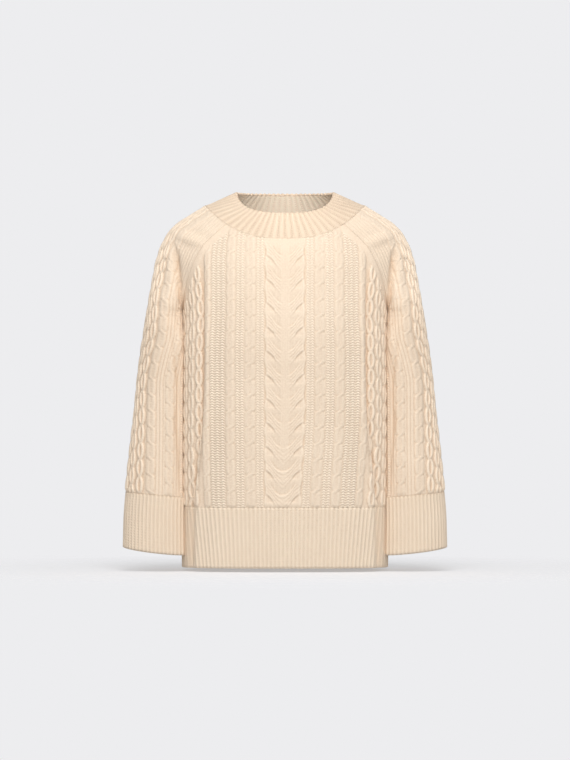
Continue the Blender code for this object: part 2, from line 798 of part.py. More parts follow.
def sleeve(name, side, material):
    """A raglan sleeve from its cuff seam to the neckline. side is -1 or 1 along X."""
    reference = {f: sleeve_half(SLEEVE_TUBE_COURSES, f)[1][-1] for f in (True, False)}
    wales = sleeve_wales()
    inner_wales = np.array([0.0, 0.018, 0.036, 0.054, 0.069, 0.086, 0.104, 0.122])
    top_wales = np.sort(np.append(wales, NECKLINE_WALE))
    outer, inner = Skin(), Skin()
    for course in range(SLEEVE_TOP_COURSE + 1):
        used = top_wales if course == SLEEVE_TOP_COURSE else wales
        points, keys = sleeve_course(course, used, reference)
        outer.add(course, points, keys)
    whole_steps = [
        c
        for c in range(SLEEVE_TUBE_COURSES, SLEEVE_TOP_COURSE + 1)
        if abs(raglan_step(c) - round(raglan_step(c))) < 1e-6
    ]
    for course in [*range(0, SLEEVE_TUBE_COURSES - 1, 4), *whole_steps]:
        used = top_wales if course == SLEEVE_TOP_COURSE else inner_wales
        points, keys = sleeve_course(course, used, reference)
        inner.add(course, points, keys)
    normals = skin_normals(outer, SLEEVE_TUBE_COURSES)
    raised(
        outer,
        sleeve_relief,
        normals,
        lambda level: 0.010 if level > SLEEVE_TUBE_COURSES - 2 else 0.0,
    )
    for k, normals in enumerate(skin_normals(inner, SLEEVE_TUBE_COURSES)):
        if 0 < k < len(inner.courses) - 1:
            inner.courses[k] -= WALL * normals
    for skin, is_inner in ((outer, False), (inner, True)):
        for k, level in enumerate(skin.levels):
            if level < SLEEVE_TUBE_COURSES:
                continue
            step = raglan_step(level)
            for end, front in ((0, True), (-1, False)):
                point = raglan_point(step, front)
                inward = armhole_inward(point)
                shift = -SEAM * raglan_apart(step, front)
                if level == SLEEVE_TUBE_COURSES:
                    shift = -2 * SEAM * np.array([-1.0, 0, 0])
                skin.courses[k][end] = point + shift + (WALL * inward if is_inner else 0)
        first, last = skin.courses[0], skin.courses[-1]
        if is_inner:
            first += WALL * ring_inward(first)
            last[1:-1] += WALL * neck_inward(last[1:-1])
        first[:, 2] += SEAM
        last += SEAM * unit(skin.courses[-2].mean(axis=0) - last.mean(axis=0))
        for points in skin.courses:
            points *= (side, 1, 1)
    return wall_object(name, outer, inner, SLEEVE_TUBE_COURSES, material, sleeve_relief)


# ---------------------------------------------------------------- ribbed bands
def rib_keys(ribs):
    """Two wales to a rib: its crest and the furrow beside it."""
    return np.linspace(0, 1, 2 * ribs + 1)


def rib_height(keys, ribs):
    return RIB_HEIGHT * (0.5 - 0.5 * np.cos(2 * math.pi * ribs * keys))


def hem(name, front, material):
    """The hem rib below the front or the back."""
    outer, inner = Skin(), Skin()
    for level, z in enumerate((HEM_BOTTOM, HEM_SEAM - SEAM)):
        half = level_section(lambda x, z=z: np.full_like(x, z), front)
        whole = np.vstack([half[:0:-1] * (-1, 1, 1), half])
        whole[[0, -1], 1] += -SEAM if front else SEAM
        along = lengths_along(whole)
        share = along / along[-1]
        inward = level_inward(whole)
        inward[[0, -1]] = np.array([[1.0, 0, 0], [-1.0, 0, 0]])
        keys = rib_keys(HEM_RIBS)
        points = points_at(whole, share, keys)
        out = -points_at(inward, share, keys) * rib_height(keys, HEM_RIBS)[:, None]
        outer.add(level, points + out, keys)
        fold = np.linspace(0.12, 0.28, 9)
        plain = np.concatenate([[0, 0.06], fold, np.linspace(0.34, 0.66, 5), 1 - fold[::-1]])
        plain = np.concatenate([plain, [0.94, 1]])
        inner.add(level, points_at(whole + WALL * inward, share, plain), plain)
    return wall_object(name, outer, inner, None, material)


def cuff_ring(along_cuff):
    """A ring of the cuff on the +X side, this far below the sleeve's seam."""
    course = -along_cuff / COURSE
    halves = [sleeve_tube_half(course, front) for front in (True, False)]
    return np.vstack([halves[0][:0:-1], halves[1]])


def cuff(name, side, material):
    """A cuff rib at the end of a sleeve."""
    outer, inner = Skin(), Skin()
    for level, along_cuff in enumerate((CUFF_LENGTH, 0.0)):
        whole = cuff_ring(along_cuff)
        whole[:, 2] -= SEAM
        along = lengths_along(whole)
        share = along / along[-1]
        inward = ring_inward(whole)
        keys = rib_keys(CUFF_RIBS)
        points = points_at(whole, share, keys)
        out = -points_at(inward, share, keys) * rib_height(keys, CUFF_RIBS)[:, None]
        plain = np.linspace(0, 1, 19)
        outer.add(level, (points + out) * (side, 1, 1), keys)
        inner_points = points_at(whole + WALL * inward, share, plain)
        inner.add(level, inner_points * (side, 1, 1), plain)
    return wall_object(name, outer, inner, 1, material)


def neckline_loop():
    """The neckline seam all round, from the centre front over +X and back again."""
    front, _ = torso_course(TOP_COURSE, True)
    back, _ = torso_course(TOP_COURSE, False)
    over_front = sleeve_cap_half(SLEEVE_TOP_COURSE, True)
    over_back = sleeve_cap_half(SLEEVE_TOP_COURSE, False)
    half = np.vstack([front, over_front[-2::-1], over_back[1:], back[-2::-1]])
    return np.vstack([half, half[-2::-1] * (-1, 1, 1)])


def band_top_loop(count=241):
    """The neckband's free edge all round, from the centre front."""
    angle = np.linspace(0, math.pi, count)
    x = BAND_HALF_WIDTH * np.sin(angle)
    reach = np.where(angle < math.pi / 2, BAND_FRONT_Y - BAND_MID_Y, BAND_MID_Y - BAND_BACK_Y)
    y = BAND_MID_Y + reach * np.cos(angle)
    share = x / BAND_HALF_WIDTH
    front_z = BAND_FRONT_Z + (BAND_SIDE_Z - BAND_FRONT_Z) * share**BAND_FRONT_RISE
    back_z = BAND_BACK_Z + (BAND_SIDE_Z - BAND_BACK_Z) * share**2
    z = np.where(angle < math.pi / 2, front_z, back_z)
    half = np.stack([x, y, z], axis=1)
    return np.vstack([half, half[-2::-1] * (-1, 1, 1)])


def band_surface(keys, height):
    """Points of the neckband's plain outer surface. height is 0 at the seam, 1 on top."""
    loops = []
    for loop in (neckline_loop(), band_top_loop()):
        along = lengths_along(loop)
        loops.append(points_at(loop, along / along[-1], keys))
    base, top = loops
    around = unit(np.roll(base, -1, axis=0) - np.roll(base, 1, axis=0))
    around[0] = around[-1] = (1, 0, 0)
    outward = unit(np.cross(around, top - base))
    outward *= np.where(outward[:, 2:] < 0, -1.0, 1.0)
    lift = 2 * SEAM * unit(top - base)
    return base + lift + height * (top - base), outward


def collar(name, material):
    """The ribbed neckband from the neckline seam to its free edge."""
    outer, inner = Skin(), Skin()
    rib_wales = rib_keys(COLLAR_RIBS)
    plain = np.linspace(0, 1, 61)
    for level, height in enumerate((0.0, 0.2, 1.0)):
        points, outward = band_surface(rib_wales, height)
        rise = rib_height(rib_wales, COLLAR_RIBS) * (0.0 if height == 0 else 1.0)
        outer.add(level, points + rise[:, None] * outward, rib_wales)
        points, outward = band_surface(plain, height)
        inward = neck_inward(points) if height == 0 else -outward
        inner.add(level, points + BAND_WALL * inward, plain)
    return wall_object(name, outer, inner, 2, material)


# ---------------------------------------------------------------- the garment
def clear_scene():
    for made in list(bpy.data.objects):
        bpy.data.objects.remove(made)


def main():
    clear_scene()
    cabled = knit_material("cabled_knit", 1.0)
    ribbed = knit_material("ribbed_knit", 0.96)
    garment = bpy.data.collections.new("cable_knit_sweater")
    bpy.context.scene.collection.children.link(garment)
    pieces = [
        panel("front", True, cabled),
        panel("back", False, cabled),
        sleeve("sleeve_right", -1, cabled),
        sleeve("sleeve_left", 1, cabled),
        hem("hem_front", True, ribbed),
        hem("hem_back", False, ribbed),
        cuff("cuff_right", -1, ribbed),
        cuff("cuff_left", 1, ribbed),
        collar("collar", ribbed),
    ]
    for piece in pieces:
        garment.objects.link(piece)


main()
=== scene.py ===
"""Cable knit sweater with raglan sleeves, in warm cream wool.

Each knitted piece is a thin closed wall on its solid's form: a fine outer skin that carries
the cables, ropes, honeycomb and ribs, and a plain inner skin. Metres, +Z up, front to -Y.
"""

import math

import bmesh
import bpy
import numpy as np
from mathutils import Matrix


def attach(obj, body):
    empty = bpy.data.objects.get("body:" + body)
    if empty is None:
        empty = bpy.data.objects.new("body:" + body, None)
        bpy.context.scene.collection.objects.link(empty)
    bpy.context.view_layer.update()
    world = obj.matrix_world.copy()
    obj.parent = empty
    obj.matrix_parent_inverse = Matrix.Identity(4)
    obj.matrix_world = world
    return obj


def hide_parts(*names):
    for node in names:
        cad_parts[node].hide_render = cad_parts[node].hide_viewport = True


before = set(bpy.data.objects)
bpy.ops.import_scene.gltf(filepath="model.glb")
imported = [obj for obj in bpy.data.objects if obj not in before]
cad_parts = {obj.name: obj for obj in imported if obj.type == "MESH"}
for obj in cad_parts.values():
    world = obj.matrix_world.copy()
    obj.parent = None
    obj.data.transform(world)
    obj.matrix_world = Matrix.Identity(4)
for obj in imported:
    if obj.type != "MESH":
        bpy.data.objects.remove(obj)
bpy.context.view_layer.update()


# ---------------------------------------------------------------- front panel
# A cabled panel of chunky wool, knitted flat from the hem rib up: a horseshoe cable in the
# middle, ropes between columns of purl on each side of it, and honeycomb out to the side
# seam. It is bound off along the raglan seams and the neckline.
WALL = 0.0025  # knitted cloth without its raised cables
SEAM = 0.0001  # half the space left between two pieces at a seam
SEAM_LIFT = 0.0010  # how far a seam's edge stands out
COURSE = 0.038 / 3  # one course of the form, about three rows of stitches
ROWS_A_COURSE = 8
WALE = 0.0016
STITCH = 0.0038
ROW = 0.0041
HEM_RIBS = 73
RIB_HEIGHT = 0.0016

HEM_SEAM = -0.4690
UNDERARM = -0.1650
SIDE_Y = 0.0120
LOWER_COURSES = 24
YOKE_COURSES = 7
NECK_COURSES = 4
RAGLAN_COURSES = YOKE_COURSES + NECK_COURSES
TOP_COURSE = LOWER_COURSES + RAGLAN_COURSES

# Sections of the body: height, half width, depth in front, depth behind, squareness.
TORSO = (
    (-0.5660, 0.1640, 0.108, 0.086, 3.4),
    (-0.5300, 0.1645, 0.111, 0.087, 3.4),
    (-0.4690, 0.1650, 0.116, 0.089, 3.4),
    (-0.3800, 0.1655, 0.122, 0.087, 3.3),
    (-0.2800, 0.1655, 0.127, 0.086, 3.1),
    (-0.2000, 0.1650, 0.131, 0.086, 2.9),
    (-0.1650, 0.1645, 0.130, 0.087, 2.8),
    (-0.1200, 0.1700, 0.124, 0.088, 2.6),
    (-0.0800, 0.1755, 0.115, 0.086, 2.5),
    (-0.0400, 0.1780, 0.099, 0.080, 2.4),
    (-0.0120, 0.1750, 0.086, 0.068, 2.4),
    (0.0150, 0.1700, 0.076, 0.058, 2.4),
)
# The raglan seam: height, distance from the centre.
RAGLAN = (
    (-0.1650, 0.1645),
    (-0.1290, 0.1610),
    (-0.1080, 0.1570),
    (-0.0800, 0.1470),
    (-0.0500, 0.1300),
    (-0.0180, 0.0960),
    (0.0050, 0.0720),
    (0.0150, 0.0610),
)
# The drape fold from each armpit to the hem: height, where its crest lies, share of depth.
FOLD = (
    (-0.5660, 0.1400, 0.70),
    (-0.4690, 0.1380, 0.90),
    (-0.4100, 0.1325, 1.00),
    (-0.3300, 0.1245, 1.00),
    (-0.2700, 0.1215, 1.00),
    (-0.1650, 0.1215, 0.95),
    (-0.1300, 0.1215, 0.75),
    (-0.1000, 0.1215, 0.40),
    (-0.0700, 0.1215, 0.00),
    (0.0150, 0.1215, 0.00),
)
FOLD_CREST = 0.0035
FOLD_CREST_WIDTH = 0.0085
FOLD_VALLEY = 0.0065
FOLD_VALLEY_OFFSET = 0.0110
FOLD_VALLEY_WIDTH = 0.0065
BACK_FOLD_SHARE = 0.55

NECK_HALF_WIDTH = 0.1275
NECK_FRONT_Z = -0.0400
NECK_BACK_Z = -0.0120
NECK_SIDE_Z = 0.0145
NECK_FRONT_RISE = 2.7
NECK_BACK_RISE = 2.2
ARMHOLE_MIDDLE = (0.1400, 0.0080, -0.0850)
NECK_INSIDE = (0.0000, 0.0050, -0.1300)

# Columns of knitting, by distance from the centre. The honeycomb's columns are given by
# their edges, since they widen towards the side seam.
CENTRE_CABLE = 0.0325
BODY_ROPES = ((0.0465, 0.0640), (0.0790, 0.0950), (0.1205, 0.1330))
BODY_GUTTERS = ((0.0325, 0.0465), (0.0640, 0.0790), (0.0950, 0.1205))
BODY_HONEYCOMB = 0.1335
BODY_CELLS = (0.1400, 0.1555, 0.1745, 0.1935, 0.2097, 0.2259, 0.2421, 0.2583)
CELL_WIDTH = 0.0162
CELL_HEIGHT = 0.0277
HORSESHOE_REPEAT = 3 * COURSE
HORSESHOE_FOOT = -0.4603  # height of its lowest crossing
ROPE_REPEAT = 2 * COURSE
CABLE_HEIGHT = 0.0040
PURL_WAVE = 0.0074
REACH = 0.0024  # how far round a point standing_out looks
PLAIN_KNIT = 0.30  # height of plain knitting, as a share of a cable's
INSIDE_PAINTED_LIGHT = 0.95  # painted light: the plain inside is drawn pale, as if lit


def smooth_table(rows, at):
    """The other columns of a table at these values of its first, on a smooth curve."""
    table = np.array(rows, float)
    table = table[np.argsort(table[:, 0])]
    x, y = table[:, 0], table[:, 1:]
    slope = np.gradient(y, x, axis=0)
    at = np.clip(np.asarray(at, float), x[0], x[-1])
    i = np.clip(np.searchsorted(x, at, side="right") - 1, 0, len(x) - 2)
    step = x[i + 1] - x[i]
    t = ((at - x[i]) / step)[..., None]
    step = step[..., None]
    a, b = y[i], y[i + 1]
    ma, mb = slope[i] * step, slope[i + 1] * step
    return (
        (2 * t**3 - 3 * t**2 + 1) * a
        + (t**3 - 2 * t**2 + t) * ma
        + (3 * t**2 - 2 * t**3) * b
        + (t**3 - t**2) * mb
    )


def smooth_step(t):
    t = np.clip(t, 0.0, 1.0)
    return t * t * (3 - 2 * t)


def unit(v):
    v = np.asarray(v, float)
    return v / np.maximum(np.linalg.norm(v, axis=-1, keepdims=True), 1e-12)


def lengths_along(points):
    steps = np.linalg.norm(np.diff(points, axis=0), axis=1)
    return np.concatenate([[0.0], np.cumsum(steps)])


def points_at(points, along, where):
    return np.stack([np.interp(where, along, points[:, k]) for k in range(3)], axis=1)


def torso_size(z):
    return np.moveaxis(smooth_table(TORSO, z), -1, 0)


def torso_side_x(y, z):
    """Distance of the body's side from the centre plane, at a depth and height."""
    half_width, front, back, square = torso_size(z)
    depth = np.where(y < SIDE_Y, front, back)
    share = np.clip(np.abs(y - SIDE_Y) / depth, 0.0, 1.0)
    return half_width * (1 - share**square) ** (1 / square)


def raglan_x(z):
    return smooth_table(RAGLAN, z)[..., 0]


def neckline_z(x, front):
    share = np.abs(x) / NECK_HALF_WIDTH
    if front:
        return NECK_FRONT_Z + (NECK_SIDE_Z - NECK_FRONT_Z) * share**NECK_FRONT_RISE
    return NECK_BACK_Z + (NECK_SIDE_Z - NECK_BACK_Z) * share**NECK_BACK_RISE


def course_z(course, x, front):
    """Height of a course of the panel at a distance from the centre."""
    if course <= LOWER_COURSES:
        return np.full_like(x, HEM_SEAM + (UNDERARM - HEM_SEAM) * course / LOWER_COURSES)
    level = UNDERARM + min(course - LOWER_COURSES, YOKE_COURSES) * COURSE
    bend = max(course - LOWER_COURSES - YOKE_COURSES, 0) / NECK_COURSES
    return level + bend * (neckline_z(x, front) - level)


def folded(points, front):
    """The section with the drape fold's crest and valley pushed out and in."""
    along = lengths_along(points)
    crest_x, depth = np.moveaxis(smooth_table(FOLD, points[:, 2]), -1, 0)
    crest = along[np.argmax(points[:, 0] >= crest_x)]
    past_valley = (along - crest - FOLD_VALLEY_OFFSET) / FOLD_VALLEY_WIDTH
    past_crest = (along - crest) / FOLD_CREST_WIDTH
    push = FOLD_CREST * np.exp(-(past_crest**2)) - FOLD_VALLEY * np.exp(-(past_valley**2))
    push *= depth * (1.0 if front else BACK_FOLD_SHARE)
    tangent = unit(np.gradient(points[:, :2], axis=0))
    outward = np.stack([tangent[:, 1], -tangent[:, 0]], axis=1)
    if not front:
        outward = -outward
    moved = points.copy()
    moved[:, :2] += push[:, None] * outward
    return moved


def level_section(z_of_x, front, count=240):
    """A course from the centre line to the side, before a raglan seam cuts it."""
    angle = np.linspace(math.pi / 2, 0, count)
    x, z = np.zeros(count), z_of_x(np.zeros(count))
    for _ in range(6):
        half_width, front_depth, back_depth, square = torso_size(z)
        x = half_width * np.cos(angle) ** (2 / square)
        z = z_of_x(x)
    depth = -front_depth if front else back_depth
    y = SIDE_Y + depth * np.sin(angle) ** (2 / square)
    return folded(np.stack([x, y, z], axis=1), front)


def torso_course(course, front):
    """Half of a course, from the centre line to its side or raglan seam, and its lengths."""
    points = level_section(lambda x: course_z(course, x, front), front)
    if course > LOWER_COURSES + 1e-6:
        past = np.argmax(points[:, 0] >= raglan_x(points[:, 2]))
        a, b = points[past - 1], points[past]
        short_a = raglan_x(a[2]) - a[0]
        short_b = raglan_x(b[2]) - b[0]
        points = np.vstack([points[:past], a + short_a / (short_a - short_b) * (b - a)])
    return points, lengths_along(points)


RAGLAN_STEPS = np.linspace(0, RAGLAN_COURSES, RAGLAN_COURSES * ROWS_A_COURSE + 1)
RAGLAN_LINE = {
    front: np.array([torso_course(LOWER_COURSES + s, front)[0][-1] for s in RAGLAN_STEPS])
    for front in (True, False)
}


def raglan_point(step, front):
    return points_at(RAGLAN_LINE[front], RAGLAN_STEPS, np.array([step]))[0]


def armhole_inward(point):
    return unit(np.array(ARMHOLE_MIDDLE) - point)


def neck_inward(point):
    return unit(np.array(NECK_INSIDE) - point)


def raglan_apart(step, front):
    """The unit vector across the raglan seam, towards the body."""
    low, high = max(step - 0.5, 0), min(step + 0.5, RAGLAN_COURSES)
    along = raglan_point(high, front) - raglan_point(low, front)
    across = unit(np.cross(along, armhole_inward(raglan_point(step, front))))
    return across if across[0] < 0 else -across


def rounded(share):
    """The quarter round of a strand's edge, from 0 at the edge to 1 inside it."""
    return np.sqrt(np.clip(1 - (1 - np.clip(share, 0, 1)) ** 2, 0, 1))


def crease(above, under_slope, over_slope):
    """1 in the crease, fading over one length above it and over another below it."""
    return np.exp(-np.where(above > 0, above / over_slope, -above / under_slope))


def horseshoe(side, up):
    """Four stitches on each side cross outward over the next four in every repeat. Gives
    the height, the stitch column, and where columns slant across."""
    height = np.full_like(side, 0.70)
    foot = np.clip((side - 0.0160) / 0.0165, 0, 1)
    low_edge = 0.0150 * foot**0.70 - 1.2 * np.clip(0.0160 - side, 0, 1)
    reach = side / 0.0200
    high_edge = 0.0125 + 0.0155 * np.minimum(reach, 1) ** 2.2 + 0.024 * np.clip(reach - 1, 0, 1)
    below = smooth_step((side - 0.0110) / 0.0070) * (1 - 0.5 * smooth_step((side - 0.022) / 0.009))
    low_down = smooth_step((0.110 - up) / 0.060)
    inner = np.maximum(smooth_step((side - 0.0010) / 0.0070), low_down)
    inner *= smooth_step((0.0240 - side) / 0.0060)
    lined = np.maximum(smooth_step((side - 0.0050) / 0.0050), 0.6 * low_down)
    lined *= smooth_step((0.0320 - side) / 0.0080)
    column = 4 * side / CENTRE_CABLE
    crossed = np.zeros_like(side)
    t = np.mod(up, HORSESHOE_REPEAT)
    for start in (0, HORSESHOE_REPEAT):
        over = t - start - low_edge
        past = t - start - high_edge
        share = np.clip(over / (high_edge - low_edge), 0, 1)
        height += 0.16 * below * np.exp(-(((over - 0.0042) / 0.0042) ** 2))
        height -= 0.44 * below * crease(over, 0.0036, 0.0008)
        height -= (0.24 + 0.10 * low_down) * inner * crease(past, 0.0008, 0.0040)
        fading = smooth_step((0.0340 + start - t) / 0.010)
        height -= 0.14 * lined * fading * (0.5 + 0.5 * np.cos(8 * math.pi * share))
        band = (over > -0.0008) & (past < 0.0008) & (lined * fading > 0.02)
        column = np.where(band, 2 * over / (high_edge - low_edge), column)
        crossed = np.where(band, lined * fading, crossed)
    edge = CENTRE_CABLE - 0.0012 + 0.0012 * np.cos(2 * math.pi * t / HORSESHOE_REPEAT)
    return height * rounded((edge - side) / 0.0030), column, crossed


def rope(x, up, low, high, repeat):
    """A rope of two strands that cross in a short length and then bulge out side by side."""
    half = 0.5 * (high - low)
    off = x - 0.5 * (low + high)
    share = np.mod(up / repeat, 1)
    turn = math.pi * smooth_step(share / 0.46)
    bulge = 0.44 - 0.05 * np.cos(2 * math.pi * (share - 0.23))
    height = np.zeros_like(x)
    column = off / half
    for way in (1, -1):
        lift = way * np.sin(turn)
        middle = -way * bulge * half * np.cos(turn)
        strand = (off - middle) / (0.51 * half * (1 + 0.30 * np.sin(turn)))
        dome = np.clip(1 - np.abs(strand) ** 2.6, 0, 1) ** 0.6 * (0.70 + 0.13 * lift)
        column = np.where(dome > height, 0.5 * strand, column)
        height = np.maximum(height, dome)
    close = np.abs(off) < bulge * half
    return np.where(close, np.maximum(height, 0.58), height), 2 * column


def honeycomb(x, up, cell_height):
    """Pairs of strands that part round a cell and close again, each pair half a cell higher
    than the pair beside it."""
    height = np.zeros_like(x)
    column = np.zeros_like(x)
    nearest = np.floor(x / CELL_WIDTH)
    for shift in (-1, 0, 1):
        number = nearest + shift
        turn = math.pi * (up / cell_height + 0.5 * np.mod(number, 2))
        parted = np.abs(np.sin(turn))
        off = np.abs(x - (number + 0.5) * CELL_WIDTH)
        spread = CELL_WIDTH * (0.05 + 0.215 * parted**0.8)
        strand = (off - spread) / (CELL_WIDTH * (0.150 + 0.025 * parted))
        raised_by = np.clip(1 - np.abs(strand) ** 2.4, 0, 1) ** 0.6 * (0.66 + 0.30 * parted**0.5)
        raised_by = np.where(off < spread, np.maximum(raised_by, 0.16), raised_by)
        column = np.where(raised_by > height, 0.5 * strand, column)
        height = np.maximum(height, raised_by)
    return np.maximum(height, 0.12), column + 0.5


def fine_ribs(x, width):
    return 0.5 - 0.5 * np.cos(2 * math.pi * x / width)


def rib(keys, ribs):
    """Height of a rib and its stitches: a knit wale on its crest, a purl one beside it."""
    turn = 2 * math.pi * ribs * keys
    return (0.5 - 0.5 * np.cos(turn)) ** 0.8, 2 * ribs * keys + 0.5


def body_knitting(x, z):
    """Height of the knitting, its stitch column and row, and its kind: above 0 for purl
    stitches, below 0 where strands are clearly parted."""
    side = np.abs(x)
    height = np.full_like(side, PLAIN_KNIT)
    column = side / STITCH
    purl = np.zeros_like(side)
    inside = side < CENTRE_CABLE
    start = smooth_step((-0.046 - z) / 0.012)
    h, c, slanting = horseshoe(side, z - HORSESHOE_FOOT)
    height = np.where(inside, 0.42 + start * (h - 0.42), height)
    column = np.where(inside, c, column)
    purl = np.where(inside, -0.45 * start * slanting, purl)
    for low, high in BODY_ROPES:
        inside = (side > low) & (side < high)
        beside = np.where(x > 0, side, low + high - side)
        h, c = rope(beside, z - HEM_SEAM + 0.004, low, high, ROPE_REPEAT)
        height = np.where(inside, np.maximum(h, 0.24), height)
        column = np.where(inside, c, column)
        purl = np.where(inside, -0.5, purl)
    for number, (low, high) in enumerate(BODY_GUTTERS):
        inside = (side > low) & (side < high)
        waves = round((high - low) / PURL_WAVE)
        ribs = fine_ribs(side - low, (high - low) / waves)
        height = np.where(inside, 0.24 + 0.12 * ribs, height)
        column = np.where(inside, 2 * waves * (side - low) / (high - low), column)
        loose = 0.80 + 0.10 * number + 0.04 * number * smooth_step((-0.160 - z) / 0.08)
        purl = np.where(inside, loose, purl)
    inside = side >= BODY_HONEYCOMB
    cells = np.interp(side, BODY_CELLS, range(len(BODY_CELLS)))
    h, c = honeycomb(CELL_WIDTH * cells, z - HEM_SEAM, CELL_HEIGHT)
    height = np.where(inside, 0.90 * h, height)
    column = np.where(inside, c, column)
    purl = np.where(inside, -0.6, purl)
    return height, np.stack([column, z / ROW, purl], axis=1)


def standing_out(knitting, x, z, *more):
    """Height of the knitting and its stitches, and how far each point stands out from what
    is round it, about 0.5 on a plain face, less in a furrow and more on a ridge. The wool
    paints shade into furrows and light onto ridges by this last value."""
    height, stitches = knitting(x, z, *more)
    around = np.zeros_like(height)
    for off_x, off_z in ((1, 0), (-1, 0), (0, 1), (0, -1), (0.7, 0.7), (-0.7, -0.7)):
        around += knitting(x + REACH * off_x, z + REACH * off_z, *more)[0] / 6
    return height, stitches, np.clip(0.5 + 1.7 * (height - around), 0, 1)


class Skin:
    """Rows of points across a piece, with each point's wale and its stitch."""

    def __init__(self):
        self.levels, self.rows, self.keys, self.stitches, self.painted_light = [], [], [], [], []

    def add(self, level, points, keys):
        self.levels.append(level)
        self.rows.append(np.array(points, float))
        self.keys.append(np.array(keys, float))
        self.stitches.append(np.zeros((len(keys), 3)))
        self.painted_light.append(np.zeros(len(keys)))


def kept_wales(wales, end):
    """The wales that a row reaches before its end, none crowding the end."""
    inside = wales[wales < end - 1e-6]
    while len(inside) > 1 and end - inside[-1] < 0.45 * (inside[-1] - inside[-2]):
        inside = inside[:-1]
    return np.append(inside, end)


def knit_together(low, high, low_keys, high_keys):
    """Faces between two rows: quads where their wales agree, triangles elsewhere."""
    faces = []
    i = j = 0
    last_i, last_j = len(low) - 1, len(high) - 1
    while i < last_i or j < last_j:
        if i < last_i and j < last_j and abs(low_keys[i + 1] - high_keys[j + 1]) < 1e-7:
            faces.append((low[i], low[i + 1], high[j + 1], high[j]))
            i, j = i + 1, j + 1
        elif j == last_j or (
            i < last_i and low_keys[i] + low_keys[i + 1] <= high_keys[j] + high_keys[j + 1]
        ):
            faces.append((low[i], low[i + 1], high[j]))
            i += 1
        else:
            faces.append((low[i], high[j + 1], high[j]))
            j += 1
    return faces


def numbered(skin, first, closed_below):
    """Numbers a skin's points. The ends of a closed row stand for one point."""
    rows, same = [], {}
    for level, points in zip(skin.levels, skin.rows):
        row = list(range(first, first + len(points)))
        first += len(points)
        if closed_below is not None and level <= closed_below + 1e-6:
            same[row[-1]] = row[0]
        rows.append(row)
    return rows, same, first


def outward_normals(skin, closed_below):
    rows, same, count = numbered(skin, 0, closed_below)
    faces = []
    for k in range(len(rows) - 1):
        faces += knit_together(rows[k], rows[k + 1], skin.keys[k], skin.keys[k + 1])
    faces = [tuple(dict.fromkeys(same.get(v, v) for v in face)) for face in faces]
    mesh = bpy.data.meshes.new("form")
    mesh.from_pydata(np.vstack(skin.rows).tolist(), [], [f for f in faces if len(f) > 2])
    normals = np.zeros(3 * count)
    mesh.vertex_normals.foreach_get("vector", normals)
    bpy.data.meshes.remove(mesh)
    normals = normals.reshape(-1, 3)
    for end, start in same.items():
        normals[end] = normals[start]
    points = np.vstack(skin.rows)
    if np.sum(normals * (points - points.mean(axis=0))) < 0:
        normals = -normals
    return np.split(normals, np.cumsum([len(row) for row in rows])[:-1])


def knitted_wall(name, outer, inner, closed_below, material):
    """One closed wall between an outer and an inner skin. Each corner of a face keeps its
    stitch column, its row, its kind and its level of painted light and shade, which mostly
    follows how far the knitting stands out."""
    outer_rows, same, count = numbered(outer, 0, closed_below)
    inner_rows, more, count = numbered(inner, count, closed_below)
    same.update(more)
    faces = []
    for skin, rows in ((outer, outer_rows), (inner, inner_rows)):
        for k in range(len(rows) - 1):
            faces += knit_together(rows[k], rows[k + 1], skin.keys[k], skin.keys[k + 1])
    for end in (0, -1):
        faces += knit_together(
            outer_rows[end], inner_rows[end], outer.keys[end], inner.keys[end]
        )
    open_from = -math.inf if closed_below is None else closed_below
    for edge in (0, -1):
        chains, levels = [], []
        for skin, rows in ((outer, outer_rows), (inner, inner_rows)):
            kept = [k for k, level in enumerate(skin.levels) if level >= open_from - 1e-6]
            chains.append([rows[k][edge] for k in kept])
            levels.append([skin.levels[k] for k in kept])
        if len(chains[0]) > 1:
            faces += knit_together(chains[0], chains[1], levels[0], levels[1])
    corners = [f for f in faces if len({same.get(v, v) for v in f}) > 2]
    corners = [tuple(v for v, n in zip(f, f[1:] + f[:1]) if same.get(v, v) != same.get(n, n))
               for f in corners]
    used = sorted({same.get(v, v) for f in corners for v in f})
    place = {v: k for k, v in enumerate(used)}
    points = np.vstack([*outer.rows, *inner.rows])
    stitches = np.vstack([*outer.stitches, *inner.stitches])
    painted_light = np.concatenate([*outer.painted_light, *inner.painted_light])
    mesh = bpy.data.meshes.new(name)
    mesh.from_pydata(
        points[used].tolist(), [], [[place[same.get(v, v)] for v in f] for f in corners]
    )
    flat = np.array([v for f in corners for v in f])
    sizes = np.array([len(f) for f in corners])
    starts = np.cumsum(sizes) - sizes
    stitch = stitches[flat]
    widest = np.maximum.reduceat(stitch[:, 0], starts)
    narrowest = np.minimum.reduceat(stitch[:, 0], starts)
    spans = np.repeat(widest - narrowest > 0.8, sizes)  # a face across two stitch columns
    stitch[:, 0] = np.where(spans, stitch[np.repeat(starts, sizes), 0], stitch[:, 0])
    made = mesh.attributes.new("stitch", "FLOAT_VECTOR", "CORNER")
    made.data.foreach_set("vector", stitch.ravel())
    made = mesh.attributes.new("painted_light", "FLOAT", "CORNER")
    made.data.foreach_set("value", painted_light[flat])
    bm = bmesh.new()
    bm.from_mesh(mesh)
    bmesh.ops.recalc_face_normals(bm, faces=bm.faces)
    if bm.calc_volume(signed=True) < 0:
        bmesh.ops.reverse_faces(bm, faces=bm.faces)
    bm.to_mesh(mesh)
    bm.free()
    mesh.materials.append(material)
    mesh.shade_smooth()
    piece = bpy.data.objects.new(name, mesh)
    bpy.context.scene.collection.objects.link(piece)
    return piece


